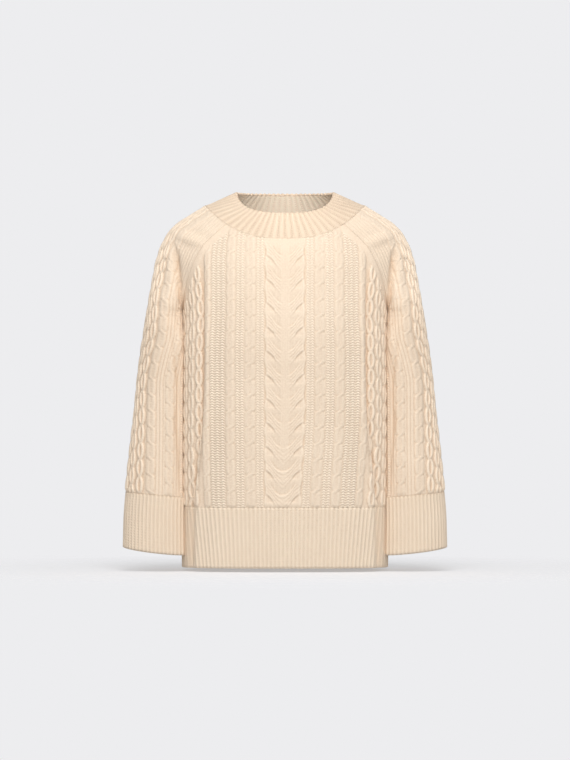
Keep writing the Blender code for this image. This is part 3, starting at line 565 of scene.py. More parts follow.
def wool(name, pale, deep):
    """Soft matt wool, stitch by stitch: each knit stitch is a V of two legs, each purl row
    a wave of small bumps. The deep colour is painted shade: it fills the furrows between
    strands and the gaps between stitch legs and purl bumps, and ridges are painted paler."""
    material = bpy.data.materials.new(name)
    material.use_nodes = True
    tree = material.node_tree
    shader = tree.nodes["Principled BSDF"]
    shader.inputs["Roughness"].default_value = 0.92
    shader.inputs["Specular IOR Level"].default_value = 0.18
    shader.inputs["Sheen Weight"].default_value = 0.22
    shader.inputs["Sheen Roughness"].default_value = 0.45
    shader.inputs["Sheen Tint"].default_value = (1.0, 0.93, 0.84, 1.0)

    def sums(kind, a, b=None, c=None):
        node = tree.nodes.new("ShaderNodeMath")
        node.operation = kind
        for socket, value in zip(node.inputs, (a, b, c)):
            if isinstance(value, (int, float)):
                socket.default_value = value
            elif value is not None:
                tree.links.new(value, socket)
        return node.outputs[0]

    def noise(scale, detail, roughness=0.5):
        node = tree.nodes.new("ShaderNodeTexNoise")
        node.inputs["Scale"].default_value = scale
        node.inputs["Detail"].default_value = detail
        node.inputs["Roughness"].default_value = roughness
        tree.links.new(place, node.inputs["Vector"])
        return node.outputs["Fac"]

    def read(attribute, output):
        node = tree.nodes.new("ShaderNodeAttribute")
        node.attribute_name = attribute
        return node.outputs[output]

    def mixed(share, a, b):
        node = tree.nodes.new("ShaderNodeMix")
        node.data_type = "RGBA"
        node.clamp_factor = False
        tree.links.new(share, node.inputs["Factor"])
        for socket, value in ((node.inputs["A"], a), (node.inputs["B"], b)):
            if isinstance(value, tuple):
                socket.default_value = (*value, 1.0)
            else:
                tree.links.new(value, socket)
        return node.outputs["Result"]

    place = tree.nodes.new("ShaderNodeTexCoord").outputs["Object"]
    split = tree.nodes.new("ShaderNodeSeparateXYZ")
    tree.links.new(read("stitch", "Vector"), split.inputs[0])
    column, row, kind = split.outputs
    purl = sums("MAXIMUM", kind, 0.0)
    parted = sums("ABSOLUTE", kind)
    wobble = sums("MULTIPLY", sums("SUBTRACT", noise(160, 1), 0.5), 0.30)
    column = sums("ADD", column, wobble)
    row = sums("ADD", row, wobble)
    beside = sums("ABSOLUTE", sums("SUBTRACT", sums("FRACT", column), 0.5))
    off_leg = sums("MULTIPLY", sums("SUBTRACT", beside, 0.25), 4.0)
    leg = sums("SUBTRACT", 1.0, sums("MULTIPLY", off_leg, off_leg))
    slant = sums("MULTIPLY_ADD", beside, 1.3, row)
    ripple = sums("MULTIPLY_ADD", sums("COSINE", sums("MULTIPLY", slant, 6.2832)), 0.5, 0.5)
    knit = sums("MULTIPLY", leg, sums("MULTIPLY_ADD", ripple, 0.5, 0.5))
    arc = sums("COSINE", sums("MULTIPLY", column, 3.1416))
    wave = sums("MULTIPLY_ADD", arc, 0.20, row)
    purled = sums("MULTIPLY_ADD", sums("COSINE", sums("MULTIPLY", wave, 6.2832)), 0.5, 0.5)
    purled = sums("MULTIPLY", purled, sums("MULTIPLY_ADD", arc, -0.25, 0.80))
    turned = sums("MULTIPLY", sums("SUBTRACT", purled, knit), purl)
    stitch = sums("ADD", knit, turned)
    fibre = noise(1500, 3, 0.7)
    loose = noise(420, 2)
    depth = sums("MULTIPLY_ADD", parted, 0.55, 0.25)
    depth = sums("MULTIPLY_ADD", purl, 0.55, depth)
    height = sums("MULTIPLY", stitch, depth)
    height = sums("MULTIPLY_ADD", fibre, 0.30, height)
    height = sums("MULTIPLY_ADD", loose, 0.35, height)
    bump = tree.nodes.new("ShaderNodeBump")
    bump.inputs["Strength"].default_value = 0.75
    bump.inputs["Distance"].default_value = 0.0011
    tree.links.new(height, bump.inputs["Height"])
    tree.links.new(bump.outputs["Normal"], shader.inputs["Normal"])
    # Painted shade and light by relief: furrows are drawn towards the deep colour, ridges past the
    # pale one.
    painted_shade_from_relief = sums("SUBTRACT", 0.5, read("painted_light", "Fac"))
    # Painted shade between stitch legs and purl bumps, more where strands part and in purl.
    between = sums("SUBTRACT", 1.0, stitch)
    shade = sums("MULTIPLY_ADD", parted, 0.22, 0.10)
    shade = sums("MULTIPLY", between, sums("MULTIPLY_ADD", purl, 0.42, shade))
    shade = sums("MULTIPLY_ADD", parted, -0.10, shade)
    shade = sums("MULTIPLY_ADD", purl, -0.36, shade)
    shade = sums("MULTIPLY_ADD", painted_shade_from_relief, 0.95, shade)
    # Random tone and yarn grain, the wool's own colour.
    shade = sums("MULTIPLY_ADD", sums("SUBTRACT", noise(14, 2), 0.5), 0.25, shade)
    shade = sums("MULTIPLY_ADD", sums("SUBTRACT", fibre, 0.5), 0.5, shade)
    shade = sums("MULTIPLY_ADD", sums("SUBTRACT", loose, 0.5), 0.55, shade)
    # The deep colour stands for shade, not for the yarn.
    tree.links.new(mixed(shade, pale, deep), shader.inputs["Base Color"])
    return material


cabled_wool = wool("cabled_wool", (0.885, 0.724, 0.565), (0.60, 0.42, 0.28))


def level_inward(points):
    """The way in, at each point of a level row, square to the row."""
    tangent = unit(np.gradient(points[:, :2], axis=0))
    normal = np.stack([-tangent[:, 1], tangent[:, 0]], axis=1)
    turned = np.sum(normal * (np.array([0.0, SIDE_Y]) - points[:, :2]), axis=1, keepdims=True)
    normal = np.where(turned < 0, -normal, normal)
    return np.column_stack([normal, np.zeros(len(points))])


def panel_row(course, front, wales, reference):
    """A whole row of a panel from seam to seam, and its wales."""
    points, along = torso_course(course, front)
    scale = along[-1] / reference if course <= LOWER_COURSES else 1.0
    half_keys = kept_wales(wales, along[-1] / scale)
    half = points_at(points, along, half_keys * scale)
    mirrored = half[:0:-1] * (-1, 1, 1)
    return np.vstack([mirrored, half]), np.concatenate([-half_keys[:0:-1], half_keys])


def panel_edges(points, course, front, inner):
    """Moves a row's ends clear of the seams, and an inner skin's ends inwards."""
    for end, mirror in ((0, -1), (-1, 1)):
        flip = np.array([mirror, 1, 1])
        point = points[end] * flip
        if course > LOWER_COURSES:
            shift = SEAM * raglan_apart(course - LOWER_COURSES, front)
            inward = armhole_inward(point)
        else:
            shift = np.array([0, -SEAM if front else SEAM, 0.0])
            inward = np.array([-1.0, 0, 0])
        if course == LOWER_COURSES:
            shift = shift + SEAM * raglan_apart(0, front)
            inward = unit(armhole_inward(point) + inward)
        points[end] = (point + shift + (WALL if inner else -SEAM_LIFT) * inward) * flip


# The drape fold's crease: how far below the neck's base, distance from the centre.
FOLD_CREASE = ((0.280, 0.131), (0.330, 0.134), (0.410, 0.142), (0.469, 0.147), (0.566, 0.147))


def fold_shade(x, z):
    """Painted shade in the drape fold's crease and, faintly, outboard of it: how much darker a
    point is drawn there.
    """
    below_neck, from_centre = zip(*FOLD_CREASE)
    off = np.abs(x) - np.interp(-z, below_neck, from_centre)
    deep = 0.34 * np.exp(-((off / 0.0016) ** 2)) + 0.02 * smooth_step(off / 0.002)
    return deep * smooth_step((-0.075 - z) / 0.040)


def rib_fan(x, half_length):
    """How far the hem's ribs have swung at its seam, as a share of its whole length."""
    return 0.0025 * np.exp(-(((np.abs(x) - 0.132) / 0.040) ** 2)) / half_length


def panel(name, front, lean):
    """The front or the back, from the hem rib to the neckline. lean says how far the
    knitting has shifted sideways at a distance from the centre and a height."""
    reference = torso_course(LOWER_COURSES, front)[1][-1]
    wales = np.arange(0, reference + 0.05, WALE)
    outer, inner = Skin(), Skin()
    for course in np.linspace(0, TOP_COURSE, TOP_COURSE * ROWS_A_COURSE + 1):
        outer.add(course, *panel_row(course, front, wales, reference))
    for course in np.linspace(0, TOP_COURSE, TOP_COURSE + 1):
        used = wales[::6] if course < TOP_COURSE else wales
        inner.add(course, *panel_row(course, front, used, reference))
    normals = outward_normals(outer, None)
    last = len(outer.rows) - 1
    for k, (points, keys, level) in enumerate(zip(outer.rows, outer.keys, outer.levels)):
        x = keys - lean(keys, points[:, 2])
        height, outer.stitches[k], painted_light = standing_out(body_knitting, x, points[:, 2])
        inset = np.minimum(keys - keys[0], keys[-1] - keys)
        near_underarm = smooth_step((3.0 - abs(level - LOWER_COURSES)) / 1.0)
        border = 0.005 + 0.010 * near_underarm
        if level > LOWER_COURSES:
            plain = smooth_step((inset - 0.011) / 0.004)
            height = PLAIN_KNIT + plain * (height - PLAIN_KNIT)
            painted_light = 0.5 + plain * (painted_light - 0.5)
            outer.stitches[k][:, 2] *= plain
            outer.stitches[k][:, 0] = np.where(
                inset < 0.013, inset / STITCH, outer.stitches[k][:, 0]
            )
        # Painted shade along the drape fold's crease.
        outer.painted_light[k] = painted_light - fold_shade(points[:, 0], points[:, 2])
        edge = smooth_step(inset / border)
        fan = np.sign(points[:, 0]) * rib_fan(points[:, 0], keys[-1])
        share = 0.5 + 0.5 * keys / keys[-1] - fan
        ribs = RIB_HEIGHT * rib(share, HEM_RIBS)[0]
        lift = ribs + (CABLE_HEIGHT * height - ribs) * smooth_step(level * COURSE / 0.005)
        if level > 1:
            lift = SEAM_LIFT + (lift - SEAM_LIFT) * edge
        if k == last:
            lift = np.full(len(points), SEAM_LIFT)
        points += lift[:, None] * (-level_inward(points) if k == 0 else normals[k])
    for k, inward in enumerate(outward_normals(inner, None)):
        if 0 < k < len(inner.rows) - 1:
            inner.rows[k] -= WALL * inward
        inner.stitches[k] = np.column_stack(
            [inner.keys[k] / STITCH, inner.rows[k][:, 2] / ROW, np.ones(len(inner.keys[k]))]
        )
        # Painted light: the plain inside is drawn pale, as if lit.
        inner.painted_light[k][:] = INSIDE_PAINTED_LIGHT
    for skin, is_inner in ((outer, False), (inner, True)):
        for k, level in enumerate(skin.levels):
            edge = torso_course(level, front)[0][-1]
            skin.rows[k][-1] = edge
            skin.rows[k][0] = edge * (-1, 1, 1)
            panel_edges(skin.rows[k], level, front, is_inner)
        bottom, top = skin.rows[0], skin.rows[-1]
        bottom[:, 2] += SEAM
        top += SEAM * unit(skin.rows[-2].mean(axis=0) - top.mean(axis=0))
        if is_inner:
            bottom[1:-1] += WALL * level_inward(bottom)[1:-1]
            top[1:-1] += WALL * neck_inward(top[1:-1])
    return knitted_wall(name, outer, inner, None, cabled_wool)


def front_lean(x, z):
    """Low down, the front's middle and left half have swung a little to one side."""
    return -0.0060 * smooth_step((-0.300 - z) / 0.170) * smooth_step((x + 0.060) / 0.080)


front = panel("knit_front", True, front_lean)
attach(front, "root")
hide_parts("front")


# ---------------------------------------------------------------- back panel
# The same cabled knitting behind, cut higher at the neck. It is joined to the front at the
# side seams and to the sleeves along the raglan seams.
back = panel("knit_back", False, lambda x, z: np.zeros_like(x))
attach(back, "root")
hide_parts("back")


# ---------------------------------------------------------------- sleeves
# Two raglan sleeves, knitted in the round from the cuff up. Honeycomb runs over the
# shoulder line, with a broad rope, fine ribs and a second rope before and behind it. Each is
# joined to the front and back along its raglan seams and hangs beside the body.
CUFF_RIBS = 45
SLEEVE_TUBE_COURSES = 23
SLEEVE_CAP_COURSES = 17
SLEEVE_TOP_COURSE = SLEEVE_TUBE_COURSES + SLEEVE_CAP_COURSES
BODY_CLEARANCE = 0.0006  # between the body and the sleeve that rests beside it
FRONT_TUCK = 0.0400
# The sleeve's outer line: distance from the centre, height, depth.
RIDGE = (
    (0.1275, 0.0145, 0.0080),
    (0.1420, 0.0050, 0.0080),
    (0.1600, -0.0060, 0.0080),
    (0.1780, -0.0190, 0.0075),
    (0.1900, -0.0345, 0.0070),
    (0.2030, -0.0660, 0.0050),
    (0.2120, -0.1100, 0.0025),
    (0.2210, -0.1620, 0.0000),
    (0.2320, -0.2340, -0.0030),
    (0.2420, -0.3300, -0.0090),
    (0.2520, -0.4180, -0.0140),
    (0.2575, -0.4740, -0.0180),
    (0.2595, -0.5400, -0.0210),
)
RIDGE_AT_UNDERARM = -0.1570
# The sleeve tube: height, depth of its front, of its back, of its seam, tip, nod.
SLEEVE = (
    (-0.5400, -0.0635, 0.0225, -0.0180, 0.100, 0.110),
    (-0.4500, -0.0620, 0.0260, -0.0160, 0.090, 0.000),
    (-0.3300, -0.0595, 0.0425, -0.0060, 0.100, 0.000),
    (-0.2340, -0.0575, 0.0555, 0.0020, 0.120, 0.000),
    (-0.1570, -0.0550, 0.0670, 0.0120, 0.142, 0.000),
)
SLEEVE_HONEYCOMB = 3 * CELL_WIDTH
SLEEVE_ROPES = ((0.0500, 0.0660), (0.0800, 0.0940))
SLEEVE_ROPE_REPEAT = 0.0258
SLEEVE_RIBS_END = 0.1040
FINE_RIB = 0.0054
SLEEVE_WALE = 0.00125
HALF_POINTS = 49
# How far the knitting has turned round the arm, by height.
SLEEVE_DRIFT = (
    (-0.5660, 0.0020),
    (-0.4420, 0.0015),
    (-0.3940, -0.0007),
    (-0.2980, -0.0067),
    (-0.2660, -0.0080),
    (-0.2340, -0.0045),
    (-0.1700, 0.0045),
    (-0.1150, -0.0020),
    (0.0150, -0.0010),
)
# The fold where the sleeve hangs over the armhole: height, distance from the centre, depth.
ARM_FOLD = (
    (-0.0450, 0.1760, 0.0),
    (-0.0620, 0.1745, 0.8),
    (-0.0980, 0.1705, 1.0),
    (-0.1380, 0.1660, 0.9),
    (-0.1520, 0.1650, 0.4),
    (-0.1650, 0.1645, 0.0),
    (-0.1850, 0.1640, 0.0),
)
# The long fold below it, down the sleeve's inner front.
ELBOW_FOLD = (
    (-0.1600, 0.1840, 0.0),
    (-0.1950, 0.1815, 0.3),
    (-0.2336, 0.1765, 0.7),
    (-0.2688, 0.1722, 0.8),
    (-0.3008, 0.1720, 0.7),
    (-0.3328, 0.1744, 1.0),
    (-0.3616, 0.1722, 1.0),
    (-0.3968, 0.1700, 0.8),
    (-0.4416, 0.1700, 0.3),
    (-0.4700, 0.1700, 0.0),
)
# Each fold's table, its depth, how far it swells beside its crease, and its half width.
SLEEVE_FOLDS = ((ARM_FOLD, 0.0060, 0.0030, 0.0045), (ELBOW_FOLD, 0.0024, 0.0012, 0.0026))


def cubic(start, start_pull, end_pull, end):
    t = np.linspace(0, 1, HALF_POINTS)[:, None]
    near, far = start + start_pull, end + end_pull
    return (
        (1 - t) ** 3 * start
        + 3 * t * (1 - t) ** 2 * near
        + 3 * t**2 * (1 - t) * far
        + t**3 * end
    )


RIDGE_CHORD = lengths_along(np.array(RIDGE))
RIDGE_POINTS = smooth_table(
    np.column_stack([RIDGE_CHORD, RIDGE]), np.linspace(0, RIDGE_CHORD[-1], 600)
)[:, [0, 2, 1]]
RIDGE_LENGTHS = lengths_along(RIDGE_POINTS)
CAP_LENGTH = float(np.interp(-RIDGE_AT_UNDERARM, -RIDGE_POINTS[:, 2], RIDGE_LENGTHS))


def ridge_at(course):
    """The outer line's point on a sleeve course, counted from the cuff seam."""
    if course >= SLEEVE_TUBE_COURSES:
        length = CAP_LENGTH * (SLEEVE_TOP_COURSE - course) / SLEEVE_CAP_COURSES
    else:
        length = CAP_LENGTH + (SLEEVE_TUBE_COURSES - course) * COURSE
    return points_at(RIDGE_POINTS, RIDGE_LENGTHS, np.array([length]))[0]


def raglan_step(course):
    """How far up the raglan seam, in body courses, a sleeve course ends."""
    risen = course - SLEEVE_TUBE_COURSES
    whole_steps = 2 * RAGLAN_COURSES - SLEEVE_CAP_COURSES
    return risen if risen <= whole_steps else whole_steps + (risen - whole_steps) / 2


def clear_of_body(points, ridge, clearance, share):
    """Points moved out until they are this far beside the body, less so by the ridge."""
    least = torso_side_x(points[:, 1], points[:, 2]) + clearance
    over = points[:, 0] - least
    push = 0.5 * (np.sqrt(over**2 + 0.004**2) - over)
    near_body = smooth_step((ridge[0] - points[:, 0]) / (0.6 * (ridge[0] - points[-1, 0])))
    points[:, 0] += share * near_body * push
    return points


def ring_pull(end, depth):
    return np.array([0.0, (depth - end[1]) * 4 / 3, 0.0])


def sleeve_tube_half(course, front):
    """Half of a ring of the sleeve below the underarm, from the outer line to its seam."""
    ridge = ridge_at(course)
    front_y, back_y, seam_y, tip, nod = smooth_table(SLEEVE, ridge[2])
    depth = front_y if front else back_y
    depth_below = UNDERARM - ridge[2]
    clearance = BODY_CLEARANCE * float(smooth_step(depth_below / COURSE))
    seam_x = torso_side_x(seam_y, ridge[2]) + clearance
    seam = np.array([seam_x, seam_y, ridge[2]])
    seam_pull = ring_pull(seam, depth)
    if front:
        seam_pull[0] -= FRONT_TUCK * (0.5 + 0.5 * float(smooth_step(depth_below / (3 * COURSE))))
    points = cubic(ridge, ring_pull(ridge, depth), seam_pull, seam)
    points = clear_of_body(points, ridge, clearance, 1.0)
    points[:, 2] = ridge[2] - tip * (ridge[0] - points[:, 0]) - nod * (ridge[1] - points[:, 1])
    return points


def sleeve_cap_start(risen, front):
    """The cap's first course, in which the ring below opens out to the two raglans."""
    ring = sleeve_tube_half(SLEEVE_TUBE_COURSES, front)
    open_course = sleeve_cap_half(SLEEVE_TUBE_COURSES + 1, front)
    seam = raglan_point(raglan_step(SLEEVE_TUBE_COURSES + risen), front)
    ahead = -ring[:, 1] if front else ring[:, 1]
    turn = int(np.argmax(ahead))
    along = lengths_along(ring)
    cut = np.interp(seam[1] if front else -seam[1], -ahead[turn:], along[turn:])
    share = np.linspace(0, 1, HALF_POINTS)
    ring = points_at(ring, along, cut * share)
    along = lengths_along(open_course)
    open_course = points_at(open_course, along, along[-1] * share)
    points = ring + risen * (open_course - ring)
    return points + share[:, None] ** 3 * (seam - points[-1])


def sleeve_cap_half(course, front):
    """Half of a course of the sleeve above the underarm, from its outer line to a raglan."""
    risen = course - SLEEVE_TUBE_COURSES
    if risen < 1:
        return sleeve_cap_start(risen, front)
    ridge = ridge_at(course)
    step = raglan_step(course)
    seam = raglan_point(step, front)
    body_points, _ = torso_course(LOWER_COURSES + max(step, 0.05), front)
    onward = unit(body_points[-1] - body_points[-6])
    depth = smooth_table(SLEEVE, RIDGE_AT_UNDERARM)[0 if front else 1]
    gap = np.abs(seam - ridge)
    over_ridge = np.array([0.0, 0.60 * gap[1] * (-1 if front else 1), 0.0])
    over_seam = 0.55 * (gap[0] + 0.35 * gap[2]) * onward
    low = float(smooth_step((SLEEVE_TUBE_COURSES + 9 - course) / 9))
    from_ridge = low * ring_pull(ridge, depth) + (1 - low) * over_ridge
    from_seam = low * ring_pull(seam, depth) + (1 - low) * over_seam
    points = clear_of_body(cubic(ridge, from_ridge, from_seam, seam), ridge, 0.0, low**3)
    points[-1] = seam
    return points


def sleeve_line(course, front):
    """Half of a sleeve course, in evenly spaced points."""
    above = course > SLEEVE_TUBE_COURSES
    points = sleeve_cap_half(course, front) if above else sleeve_tube_half(course, front)
    along = lengths_along(points)
    return points_at(points, along, np.linspace(0, along[-1], HALF_POINTS))


def sleeve_half(course, front):
    """Half of a sleeve course, eased where the rings open out into the cap."""
    points = sleeve_line(course, front)
    ease = float(smooth_step((3.0 - abs(course - SLEEVE_TUBE_COURSES - 0.5)) / 2.0))
    if ease > 0:
        beside = (-1.5, -1, -0.5, 0.5, 1, 1.5)
        around = sum(sleeve_line(course + off, front) for off in beside) / len(beside)
        moved = (around - points) * (1, 1, 0)
        share = np.linspace(0, 1, HALF_POINTS)
        inside = smooth_step(share / 0.15) * smooth_step((0.72 - share) / 0.32)
        points = points + ease * inside[:, None] * moved
    return points, lengths_along(points)


def sleeve_row(course, wales, reference):
    """A whole sleeve row, from the front seam over the outer line to the back seam."""
    halves = []
    for front in (True, False):
        points, along = sleeve_half(course, front)
        scale = along[-1] / reference[front] if course <= SLEEVE_TUBE_COURSES else 1.0
        keys = kept_wales(wales, along[-1] / scale)
        halves.append((points_at(points, along, keys * scale), keys))
    (front_points, front_keys), (back_points, back_keys) = halves
    points = np.vstack([front_points[:0:-1], back_points])
    return points, np.concatenate([-front_keys[:0:-1], back_keys])


def ring_inward(points):
    """The way in, at each point of a ring that closes on itself, within its plane."""
    ring = points[:-1]
    tangent = unit(np.roll(ring, -1, axis=0) - np.roll(ring, 1, axis=0))
    plane = np.sum(np.cross(ring, np.roll(ring, -1, axis=0)), axis=0)
    normal = unit(np.cross(tangent, unit(plane)))
    turned = np.sum(normal * (ring.mean(axis=0) - ring), axis=1, keepdims=True)
    normal = np.where(turned < 0, -normal, normal)
    return np.vstack([normal, normal[:1]])


def sleeve_knitting(x, up, z, inset):
    """Height, stitch column, row and kind, by distance from the outer line and from the
    raglan seam. Above the underarm the ribs turn to run beside the raglan."""
    side = np.abs(x) - smooth_table(SLEEVE_DRIFT, z)[..., 0]
    height = PLAIN_KNIT + 0.10 * fine_ribs(side, FINE_RIB)
    column = side / STITCH
    purl = np.zeros_like(side)
    h, c = honeycomb(side, up, CELL_HEIGHT)
    inside = side < SLEEVE_HONEYCOMB
    height = np.where(inside, h, height)
    column = np.where(inside, c, column)
    purl = np.where(inside, -0.6, purl)
    between = (side > SLEEVE_ROPES[0][1]) & (side < SLEEVE_RIBS_END)
    past = side - SLEEVE_ROPES[0][1]
    height = np.where(between, 0.12 + 0.28 * fine_ribs(past, FINE_RIB), height)
    column = np.where(between, past / FINE_RIB, column)
    purl = np.where(between, -0.4, purl)
    for k, (low, high) in enumerate(SLEEVE_ROPES):
        inside = (side > low) & (side < high)
        h, c = rope(low + high - side, up + 0.011 * k, low, high, SLEEVE_ROPE_REPEAT)
        height = np.where(inside, np.maximum(h, 0.16), height)
        column = np.where(inside, c, column)
        purl = np.where(inside, -0.5, purl)
    beyond = side >= SLEEVE_RIBS_END
    height = np.where(beyond, 0.16 + 0.16 * fine_ribs(side, PURL_WAVE), height)
    column = np.where(beyond, 2 * side / PURL_WAVE, column)
    purl = np.where(beyond, 0.8, purl)
    above = up - SLEEVE_TUBE_COURSES * COURSE - 0.008
    along_seam = smooth_step((1.3 * above - inset) / 0.005)
    past_rope = smooth_step(past / 0.004)
    by_seam = smooth_step(above / 0.030) * smooth_step((0.019 - inset) / 0.005)
    along_seam = np.maximum(along_seam * past_rope, by_seam)
    seam_ribs = 0.24 + 0.36 * fine_ribs(inset + 0.4 * FINE_RIB, FINE_RIB)
    height = height + along_seam * (seam_ribs - height)
    column = np.where(along_seam > 0.5, inset / FINE_RIB + 0.4, column)
    purl = np.where(along_seam > 0.5, -0.6 * along_seam, purl)
    return height, np.stack([column, up / ROW, purl], axis=1)


def arm_folds(points, keys):
    """How far the folds push the surface out, and how much painted shade lies in their troughs."""
    front_or_back = np.where(keys < -0.040, 1.0, np.where(keys > 0.040, 0.5, 0.0))
    push, shade = np.zeros(len(keys)), np.zeros(len(keys))
    for table, deep, swollen, width in SLEEVE_FOLDS:
        fold_x, depth = np.moveaxis(smooth_table(table, points[:, 2]), -1, 0)
        off = (points[:, 0] - fold_x) / width
        trough = np.exp(-(off**2))
        swell = np.exp(-(((off - 2.9) / 1.9) ** 2))
        depth = np.clip(depth, 0, 1) * front_or_back
        push += depth * (swollen * swell - deep * trough)
        # Painted shade in each fold's trough.
        shade += 0.40 * depth * trough
    return push, shade


def sleeve(name, side):
    """side is -1 for the wearer's right and 1 for the left."""
    reference = {f: sleeve_half(SLEEVE_TUBE_COURSES, f)[1][-1] for f in (True, False)}
    wales = np.arange(0, 0.300, SLEEVE_WALE)
    outer, inner = Skin(), Skin()
    for course in np.linspace(0, SLEEVE_TOP_COURSE, SLEEVE_TOP_COURSE * ROWS_A_COURSE + 1):
        outer.add(course, *sleeve_row(course, wales, reference))
    for course in range(0, SLEEVE_TOP_COURSE + 1):
        used = wales if course == SLEEVE_TOP_COURSE else wales[::6]
        inner.add(course, *sleeve_row(course, used, reference))
    normals = outward_normals(outer, SLEEVE_TUBE_COURSES)
    last = len(outer.rows) - 1
    for k, (points, keys, level) in enumerate(zip(outer.rows, outer.keys, outer.levels)):
        inset = np.minimum(keys - keys[0], keys[-1] - keys)
        z = points[:, 2]
        height, outer.stitches[k], outer.painted_light[k] = standing_out(
            sleeve_knitting, keys, np.full_like(keys, level * COURSE), z, inset
        )
        ribs = RIB_HEIGHT * rib((keys - keys[0]) / (keys[-1] - keys[0]), CUFF_RIBS)[0]
        lift = ribs + (CABLE_HEIGHT * height - ribs) * smooth_step(level * COURSE / 0.005)
        soft = 1 - 0.45 * smooth_step((z + 0.070) / 0.060)
        lift = SEAM_LIFT + (lift - SEAM_LIFT) * soft
        outer.painted_light[k] = 0.5 + soft * (outer.painted_light[k] - 0.5)
        if level > SLEEVE_TUBE_COURSES - 2:
            lift = SEAM_LIFT + (lift - SEAM_LIFT) * smooth_step(inset / 0.005)
        push, shade = arm_folds(points, keys)
        lift += push * smooth_step(inset / 0.010)
        # Painted shade in the folds' troughs and over the sleeve below the cap; the cap is painted
        # a little paler, as if lit.
        shaded_below_cap = smooth_step((SLEEVE_TUBE_COURSES + 5 - level) / 6)
        outer.painted_light[k] -= shade + 0.16 * shaded_below_cap - 0.08
        if k == last:
            lift = np.full(len(points), SEAM_LIFT)
        points += lift[:, None] * (-ring_inward(points) if k == 0 else normals[k])
    for k, inward in enumerate(outward_normals(inner, SLEEVE_TUBE_COURSES)):
        if 0 < k < len(inner.rows) - 1:
            keys = inner.keys[k]
            inset = np.minimum(keys - keys[0], keys[-1] - keys)
            push = arm_folds(inner.rows[k], keys)[0] * smooth_step(inset / 0.010)
            inner.rows[k] += (push - WALL)[:, None] * inward
        inner.stitches[k] = np.column_stack(
            [
                inner.keys[k] / STITCH,
                np.full(len(inner.keys[k]), inner.levels[k] * COURSE / ROW),
                np.ones(len(inner.keys[k])),
            ]
        )
        # Painted light: the plain inside is drawn pale, as if lit.
        inner.painted_light[k][:] = INSIDE_PAINTED_LIGHT
    for skin, is_inner in ((outer, False), (inner, True)):
        for k, level in enumerate(skin.levels):
            if level < SLEEVE_TUBE_COURSES:
                continue
            step = raglan_step(level)
            for end, is_front in ((0, True), (-1, False)):
                point = raglan_point(step, is_front)
                shift = -SEAM * raglan_apart(step, is_front)
                if level == SLEEVE_TUBE_COURSES:
                    shift = -2 * SEAM * np.array([-1.0, 0, 0])
                inward = (WALL if is_inner else -SEAM_LIFT) * armhole_inward(point)
                skin.rows[k][end] = point + shift + inward
        first, top = skin.rows[0], skin.rows[-1]
        if is_inner:
            first += WALL * ring_inward(first)
            top[1:-1] += WALL * neck_inward(top[1:-1])
        first[:, 2] += SEAM
        top += SEAM * unit(skin.rows[-2].mean(axis=0) - top.mean(axis=0))
        for points in skin.rows:
            points *= (side, 1, 1)
    return knitted_wall(name, outer, inner, SLEEVE_TUBE_COURSES, cabled_wool)


for name, side in (("sleeve_right", -1), ("sleeve_left", 1)):
    arm = sleeve("knit_" + name, side)
    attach(arm, "root")
    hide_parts(name)


# ---------------------------------------------------------------- hem ribs
# A deep one-and-one rib below each panel, knitted on, a little tighter than the panel. Its
# ribs lean where the drape folds cross it.
HEM_BOTTOM = -0.5660
HEM_ROWS = 24
RIB_LAP = 0.0003
HEM_TUCK = 0.0010
HEM_SWELL = 0.0030
RIB_POINTS = 8

ribbed_wool = wool("ribbed_wool", (0.866, 0.708, 0.548), (0.60, 0.42, 0.28))


def ribbed_stitches(skin, k, column, up, height):
    purl = smooth_step((0.45 - height) / 0.3)
    skin.stitches[k] = np.column_stack([column, np.full(len(column), up / ROW), purl])
    # Painted shade in the rib grooves, lighter on the crests.
    skin.painted_light[k] = 0.38 + 0.24 * height


def hem(name, front):
    outer, inner = Skin(), Skin()
    keys = np.linspace(0, 1, RIB_POINTS * HEM_RIBS + 1)
    plain = np.linspace(0, 1, 121)
    for level in range(HEM_ROWS + 1):
        share_up = level / HEM_ROWS
        z = HEM_BOTTOM + (HEM_SEAM + RIB_LAP - HEM_BOTTOM) * share_up
        half = level_section(lambda x, z=z: np.full_like(x, z), front)
        whole = np.vstack([half[:0:-1] * (-1, 1, 1), half])
        whole[[0, -1], 1] += -SEAM if front else SEAM
        along = lengths_along(whole)
        share = along / along[-1]
        inward = level_inward(whole)
        inward[[0, -1]] = np.array([[1.0, 0, 0], [-1.0, 0, 0]])
        x = points_at(whole, share, keys)[:, 0]
        fan = np.sign(x) * share_up * rib_fan(x, along[-1] / 2)
        height, column = rib(keys - fan, HEM_RIBS)
        side = np.abs(x)
        tucked = smooth_step((side - 0.1450) / 0.003) * smooth_step((0.166 - side) / 0.012)
        swell = np.exp(-(((side - 0.1575) / 0.0055) ** 2))
        swell *= 1 - share_up**4
        tucked *= 1 - share_up**4
        rise = RIB_HEIGHT * height * (1 - 0.5 * tucked) - HEM_TUCK * tucked + HEM_SWELL * swell
        out = -points_at(inward, share, keys) * rise[:, None]
        outer.add(level, points_at(whole, share, keys) + out, keys)
        ribbed_stitches(outer, level, column, z, height)
        # Painted shade on the strip outboard of the drape fold, which turns away from the light;
        # the whole band is drawn a little paler.
        outer.painted_light[level] += 0.10 - 0.24 * smooth_step((side - 0.1455) / 0.0025)
        if level % 6 == 0:
            inner.add(level, points_at(whole + WALL * inward, share, plain), plain)
            height, column = rib(plain, HEM_RIBS)
            ribbed_stitches(inner, -1, column, z, 1 - height)
    return knitted_wall(name, outer, inner, None, ribbed_wool)


for name, is_front, width in (("hem_front", True, 0.500), ("hem_back", False, 0.459)):
    band = hem("knit_" + name, is_front)
    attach(band, "root")
    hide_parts(name)


# ---------------------------------------------------------------- cuffs
# A wide one-and-one rib at the end of each sleeve, knitted on, open and loose at the wrist.
CUFF_LENGTH = 0.0880
CUFF_ROWS = 22


